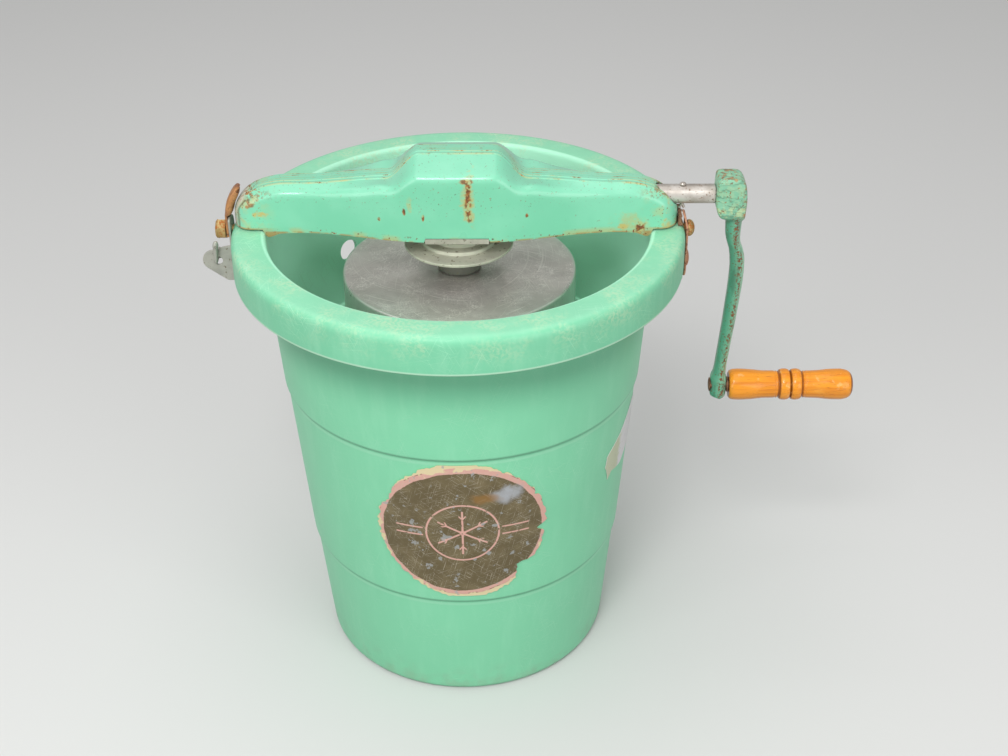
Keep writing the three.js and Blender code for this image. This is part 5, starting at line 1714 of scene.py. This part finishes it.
@dataclass
class Crank(Assembly):
    """The shaft, the cast arm on its squared end, and the turned wooden grip on its pin."""

    height: float = 344.4
    shaft_radius: float = 6.35
    shaft_square: float = 5.0
    arm_face: float = 168.0
    boss_width: float = 20.4
    eye_width: float = 11.2
    eye_offset: float = 6.6
    throw: float = 148.6
    ridge_at: float = 0.2
    grip_length: float = 86.6
    grip_radius: float = 11.0
    grip_waist: float = 9.6
    pin_radius: float = 3.2
    grip_gap: float = 1.6
    arm: Table = (
        (-157, 7.6, 17.0, 6.6), (-156.4, 7.0, 17.5, 7.4), (-153, 6.6, 17.8, 8), (-143.5, 6.6, 17.8, 8),
        (-138, 8.1, 16.6, 7), (-120, 9.8, 17.9, 7), (-89, 12.1, 20.9, 7), (-56, 13.6, 23.1, 7),
        (-48, 13.1, 22.8, 7), (-41, 12.1, 21.4, 7), (-35, 10.2, 19.2, 7), (-29.5, 8.9, 18.6, 7),
        (-17.6, 8.0, 19.2, 7.2), (-16.2, 6.0, 19.7, 8.2), (-14.6, 3.8, 19.9, 9), (-11, 1.6, 20.0, 9.8),
        (-3, 0, 20.4, 10), (7.5, 0.2, 19.4, 10), (11.6, 0.5, 17.4, 9.7), (13.1, 1.4, 15.6, 9.1),
        (13.8, 2.8, 14.0, 8.0), (14, 3.4, 13.2, 7.6))
    grip_stations: Row = (0, 0.012, 0.035, 0.08, 0.17, 0.29, 0.39, 0.62, 0.71, 0.82, 0.90, 0.955, 0.985, 1.0)
    beads: Row = (0.405, 0.497)
    bead_length: float = 0.092
    grooves: Table = ((0.376, 0.35), (0.397, 0.7), (0.497, 0.5), (0.597, 0.7), (0.618, 0.35))

    @property
    def grip_height(self) -> float:
        """How high the grip's axis lies."""
        return self.height - self.throw

    @property
    def grip_start(self) -> float:
        """Where the grip begins along the case's axis."""
        return self.arm_face + self.eye_offset + self.eye_width + self.grip_gap

    def shaft(self) -> list[Patch]:
        """A stepped round bar whose end is square inside the arm's boss.

        Returns:
            The patches of a closed skin.
        """
        r, square, face = self.shaft_radius, self.shaft_square, self.arm_face - 0.3
        end = self.arm_face + self.boss_width - 0.8
        line = rounded([
            (0, 14, 0), (4.5, 14, 0.4), (4.5, 32, 0.2), (r, 32, 0.4), (r, face, 0.2), (square, face, 0.01),
            (square, end, 0.3), (0, end, 0)], spacing=3)
        flatness = np.where(line[:, 1] > face + 0.02, 1.0, 0.0)
        return turned(line, 96, Axis.ALONG_CASE, self.height, flatness=flatness)

    def arm_skin(self) -> list[Patch]:
        """The arm lofted through its stations.

        A row of the table is the height over the shaft, the left and right sides measured from the
        boss's inner face, and the half depth. A section is the superellipse |u/a|^n + |v/b|^n = 1, with
        its front drawn to a ridge: v is scaled by 1 - k |u - u0| on the front below the boss. A place
        lies flat at ten times u, and its height over the shaft.

        Returns:
            One patch, closed to a point at both ends.
        """
        table = np.array(self.arm)
        dense = np.unique(np.r_[np.linspace(table[0, 0], table[-1, 0], 190), table[:, 0]])
        left, right, depth = eased(dense, table[:, 0], table[:, 1:]).T[:, :, None]
        up = dense[:, None]
        boss = np.clip((up + 19) / 5, 0, 1)
        u, v = superellipse(72, 2 / (3.0 + 6.0 * boss))
        drawn = 1 - 0.42 * np.abs(u - self.ridge_at) * (1 - boss) * (v < 0)
        x = self.arm_face + (left + right) / 2 + (right - left) / 2 * u
        flat = joined(10 * u, up)
        skin = capped(joined(x, depth * v * drawn, self.height + up))
        return [Patch(skin, np.concatenate([flat[:1], flat, flat[-1:]]))]

    def pin(self) -> list[Patch]:
        """The grip's pin with its low head, the collar beside the eye, and the button in the grip's end.

        Returns:
            The patches of a closed skin.
        """
        r, start = self.pin_radius, self.arm_face + self.eye_offset
        collar, grip = start + self.eye_width + 0.3, self.grip_start
        end = grip + self.grip_length
        return turned(rounded([
            (0, start - 1.1, 0), (r + 0.6, start - 1.1, 0.6), (r + 1.8, start - 0.6, 0.4),
            (r + 1.8, start - 0.3, 0.1), (r, start - 0.3, 0.1), (r, collar, 0.1), (r + 2.2, collar, 0.2),
            (r + 2.2, grip - 0.3, 0.2), (r, grip - 0.3, 0.1), (r, end - 4.7, 0.1), (r + 2, end - 4.7, 0.2),
            (r + 2, end - 3.2, 0.5), (r + 0.8, end - 2.7, 0.4), (0, end - 2.6, 0)], spacing=4),
            64, Axis.ALONG_CASE, self.grip_height)

    def grip(self) -> list[Patch]:
        """A turned handle: a smooth curve of radii, with two round beads between three fine grooves.

        Returns:
            The patches of a closed skin.
        """
        wide, waist, length = self.grip_radius, self.grip_waist, self.grip_length
        radii = np.array([
            wide - 2.0, wide - 0.9, wide - 0.2, wide, wide - 0.35, waist + 0.1, waist, waist, waist + 0.2,
            wide - 0.3, wide - 0.1, wide - 0.9, wide - 2.4, wide - 4.4])
        t = np.linspace(0, 1, 420)
        radius = eased(t, np.array(self.grip_stations), radii)
        for first in self.beads:
            s = np.clip((t - first) / self.bead_length, 0, 1)
            bead = waist - 0.7 + (wide - waist + 0.75) * np.sqrt(np.clip(1 - (2 * s - 1) ** 2, 0, 1)) ** 0.8
            radius = np.where((s > 0) & (s < 1), bead, radius)
        for groove, deep in self.grooves:
            radius = radius - deep * np.exp(-((t - groove) / 0.006) ** 2)
        bore, counter, start = self.pin_radius + 0.35, self.pin_radius + 2.4, self.grip_start
        end = start + length
        inner = [(counter, end), (counter, end - 5), (bore, end - 5), (bore, start)]
        line = np.vstack([[(bore, start)], joined(radius, start + t * length), inner])
        return turned(line, 96, Axis.ALONG_CASE, self.grip_height)

    def build(self) -> None:
        """Makes the shaft, the arm, the pin and the grip."""
        low, high = self.arm_face - 6, self.arm_face + 40
        half = self.shaft_square + 0.3
        square = block((low, -half, self.height - half), (high, half, self.height + half))
        bore = rod(self.pin_radius + 0.3, low, high, 40, self.grip_height)
        self.add("shaft_bar", self.shaft(), "crank", "steel", ["crank_shaft"])
        self.add("arm_casting", self.arm_skin(), "crank", "arm_paint", ["crank_arm"], cuts=[square, bore])
        self.add("grip_spindle", self.pin(), "crank", "steel", ["grip_pin"], "rusty_steel")
        self.add("grip_handle", self.grip(), "grip", "varnished_wood", ["grip"])


@dataclass
class CarriedOver(Assembly):
    """The solids that keep their own shape and get a finish."""

    def build(self) -> None:
        """Gives each shown solid its slot's material."""
        slots = {row["node"]: row["material_slot"] for row in frame["record"]["subparts"]}
        for name, solid in frame["nodes"].items():
            if not solid.hide_render:
                for place in solid.material_slots:
                    place.material = self.looks[slots[name]]
                log.info("%s: kept, in %s", name, slots[name])


@dataclass
class Studio:
    """The floor, the light and the camera at the photograph's place, all in metres."""

    eye: Row = (0.039147, -0.896607, 0.780022)
    look: Row = (-0.009216, 0.840101, -0.542352)
    roll: float = -0.433
    lens: float = 54.07
    floor_rings: Row = (0, 1.0, 4.0, 12.0)
    floor_colour: Colour = (0.72, 0.72, 0.71)
    bounce_colour: Colour = (0.20, 0.20, 0.20)
    sky: float = 0.46
    target: Row = (0, 0, 0.22)
    lamps: tuple[tuple[str, Row, float, float], ...] = (
        ("key", (-0.25, -1.25, 1.7), 0.6, 16.5), ("overhead", (-0.2, 0.1, 1.9), 1.4, 7),
        ("window", (-1.3, -1.5, 0.9), 1.2, 11), ("fill", (1.3, -1.6, 0.8), 1.4, 14))

    @staticmethod
    def aimed(data: Any, place: Row, forward: Array, level: Row, roll: float = 0.0) -> bpy.types.Object:
        """Puts a camera or a lamp in its place.

        Right is forward x level and up is right x forward, both then turned by the roll.

        Args:
            data: The camera or the lamp.
            place: Where it stands.
            forward: Where it looks.
            level: The direction that counts as up.
            roll: Degrees about its line of sight.

        Returns:
            The object.
        """
        forward = forward / np.linalg.norm(forward)
        right = np.cross(forward, level)
        right = right / np.linalg.norm(right)
        up = np.cross(right, forward)
        c, s = np.cos(np.radians(roll)), np.sin(np.radians(roll))
        turn = np.stack([c * right + s * up, c * up - s * right, -forward], 1)
        item = bpy.data.objects.new(data.name, data)
        item.matrix_world = Matrix.Translation(place) @ Matrix(turn.tolist()).to_4x4()
        bpy.context.scene.collection.objects.link(item)
        return item

    def camera(self) -> None:
        """Sets the camera from its place, its line of sight and its roll."""
        data = bpy.data.cameras.new("camera")
        data.lens, data.sensor_width = self.lens, 36
        bpy.context.scene.camera = self.aimed(data, self.eye, np.array(self.look), (0, 0, 1), self.roll)

    def floor(self) -> None:
        """A wide pale floor at the tub's foot, brighter to the camera than to the object."""
        ring = np.linspace(0, CIRCLE, 97)
        t = np.array(self.floor_rings)[:, None]
        top = make_mesh("floor", [Patch(joined(t * np.cos(ring), t * np.sin(ring), 0.0) * 1000)])
        tree = Tree("floor", Specular_IOR_Level=0.2)
        rays = tree.node("ShaderNodeLightPath")
        camera, glossy, through = (
            Value(tree, rays.outputs[f"Is {kind} Ray"]) for kind in ("Camera", "Glossy", "Transmission"))
        seen = camera.most(glossy).most(through)
        top.data.materials.append(tree.dress(tree.mix(self.bounce_colour, (self.floor_colour, seen)), 0.9))

    def light(self) -> None:
        """Square soft lamps aimed at the object's middle, under a pale sky."""
        for name, place, size, power in self.lamps:
            data = bpy.data.lights.new(name, "AREA")
            data.size, data.energy = size, power
            self.aimed(data, place, np.array(self.target) - np.array(place), (0.0, 1.0, 0.001))
        world = bpy.context.scene.world or bpy.data.worlds.new("studio")
        bpy.context.scene.world = world
        world.use_nodes = True
        back = world.node_tree.nodes.get("Background") or world.node_tree.nodes.new("ShaderNodeBackground")
        back.inputs["Color"].default_value = (1, 1, 1, 1)
        back.inputs["Strength"].default_value = self.sky

    def build(self) -> None:
        """Sets everything round the object."""
        self.camera()
        self.floor()
        self.light()
        bpy.context.scene.view_settings.view_transform = "Standard"


def main() -> None:
    """Builds the scene in order."""
    logging.basicConfig(level=logging.INFO, format="%(message)s")
    Studio().build()
    looks = {name: finish.material() for name, finish in FINISHES.items()}
    tub = Tub(looks)
    tub.build()
    Label(looks, tub).build()
    for assembly in (Can, Drive, Case, LatchSide, KeeperSide, Crank, CarriedOver):
        assembly(looks).build()


if __name__ == "__main__":
    main()
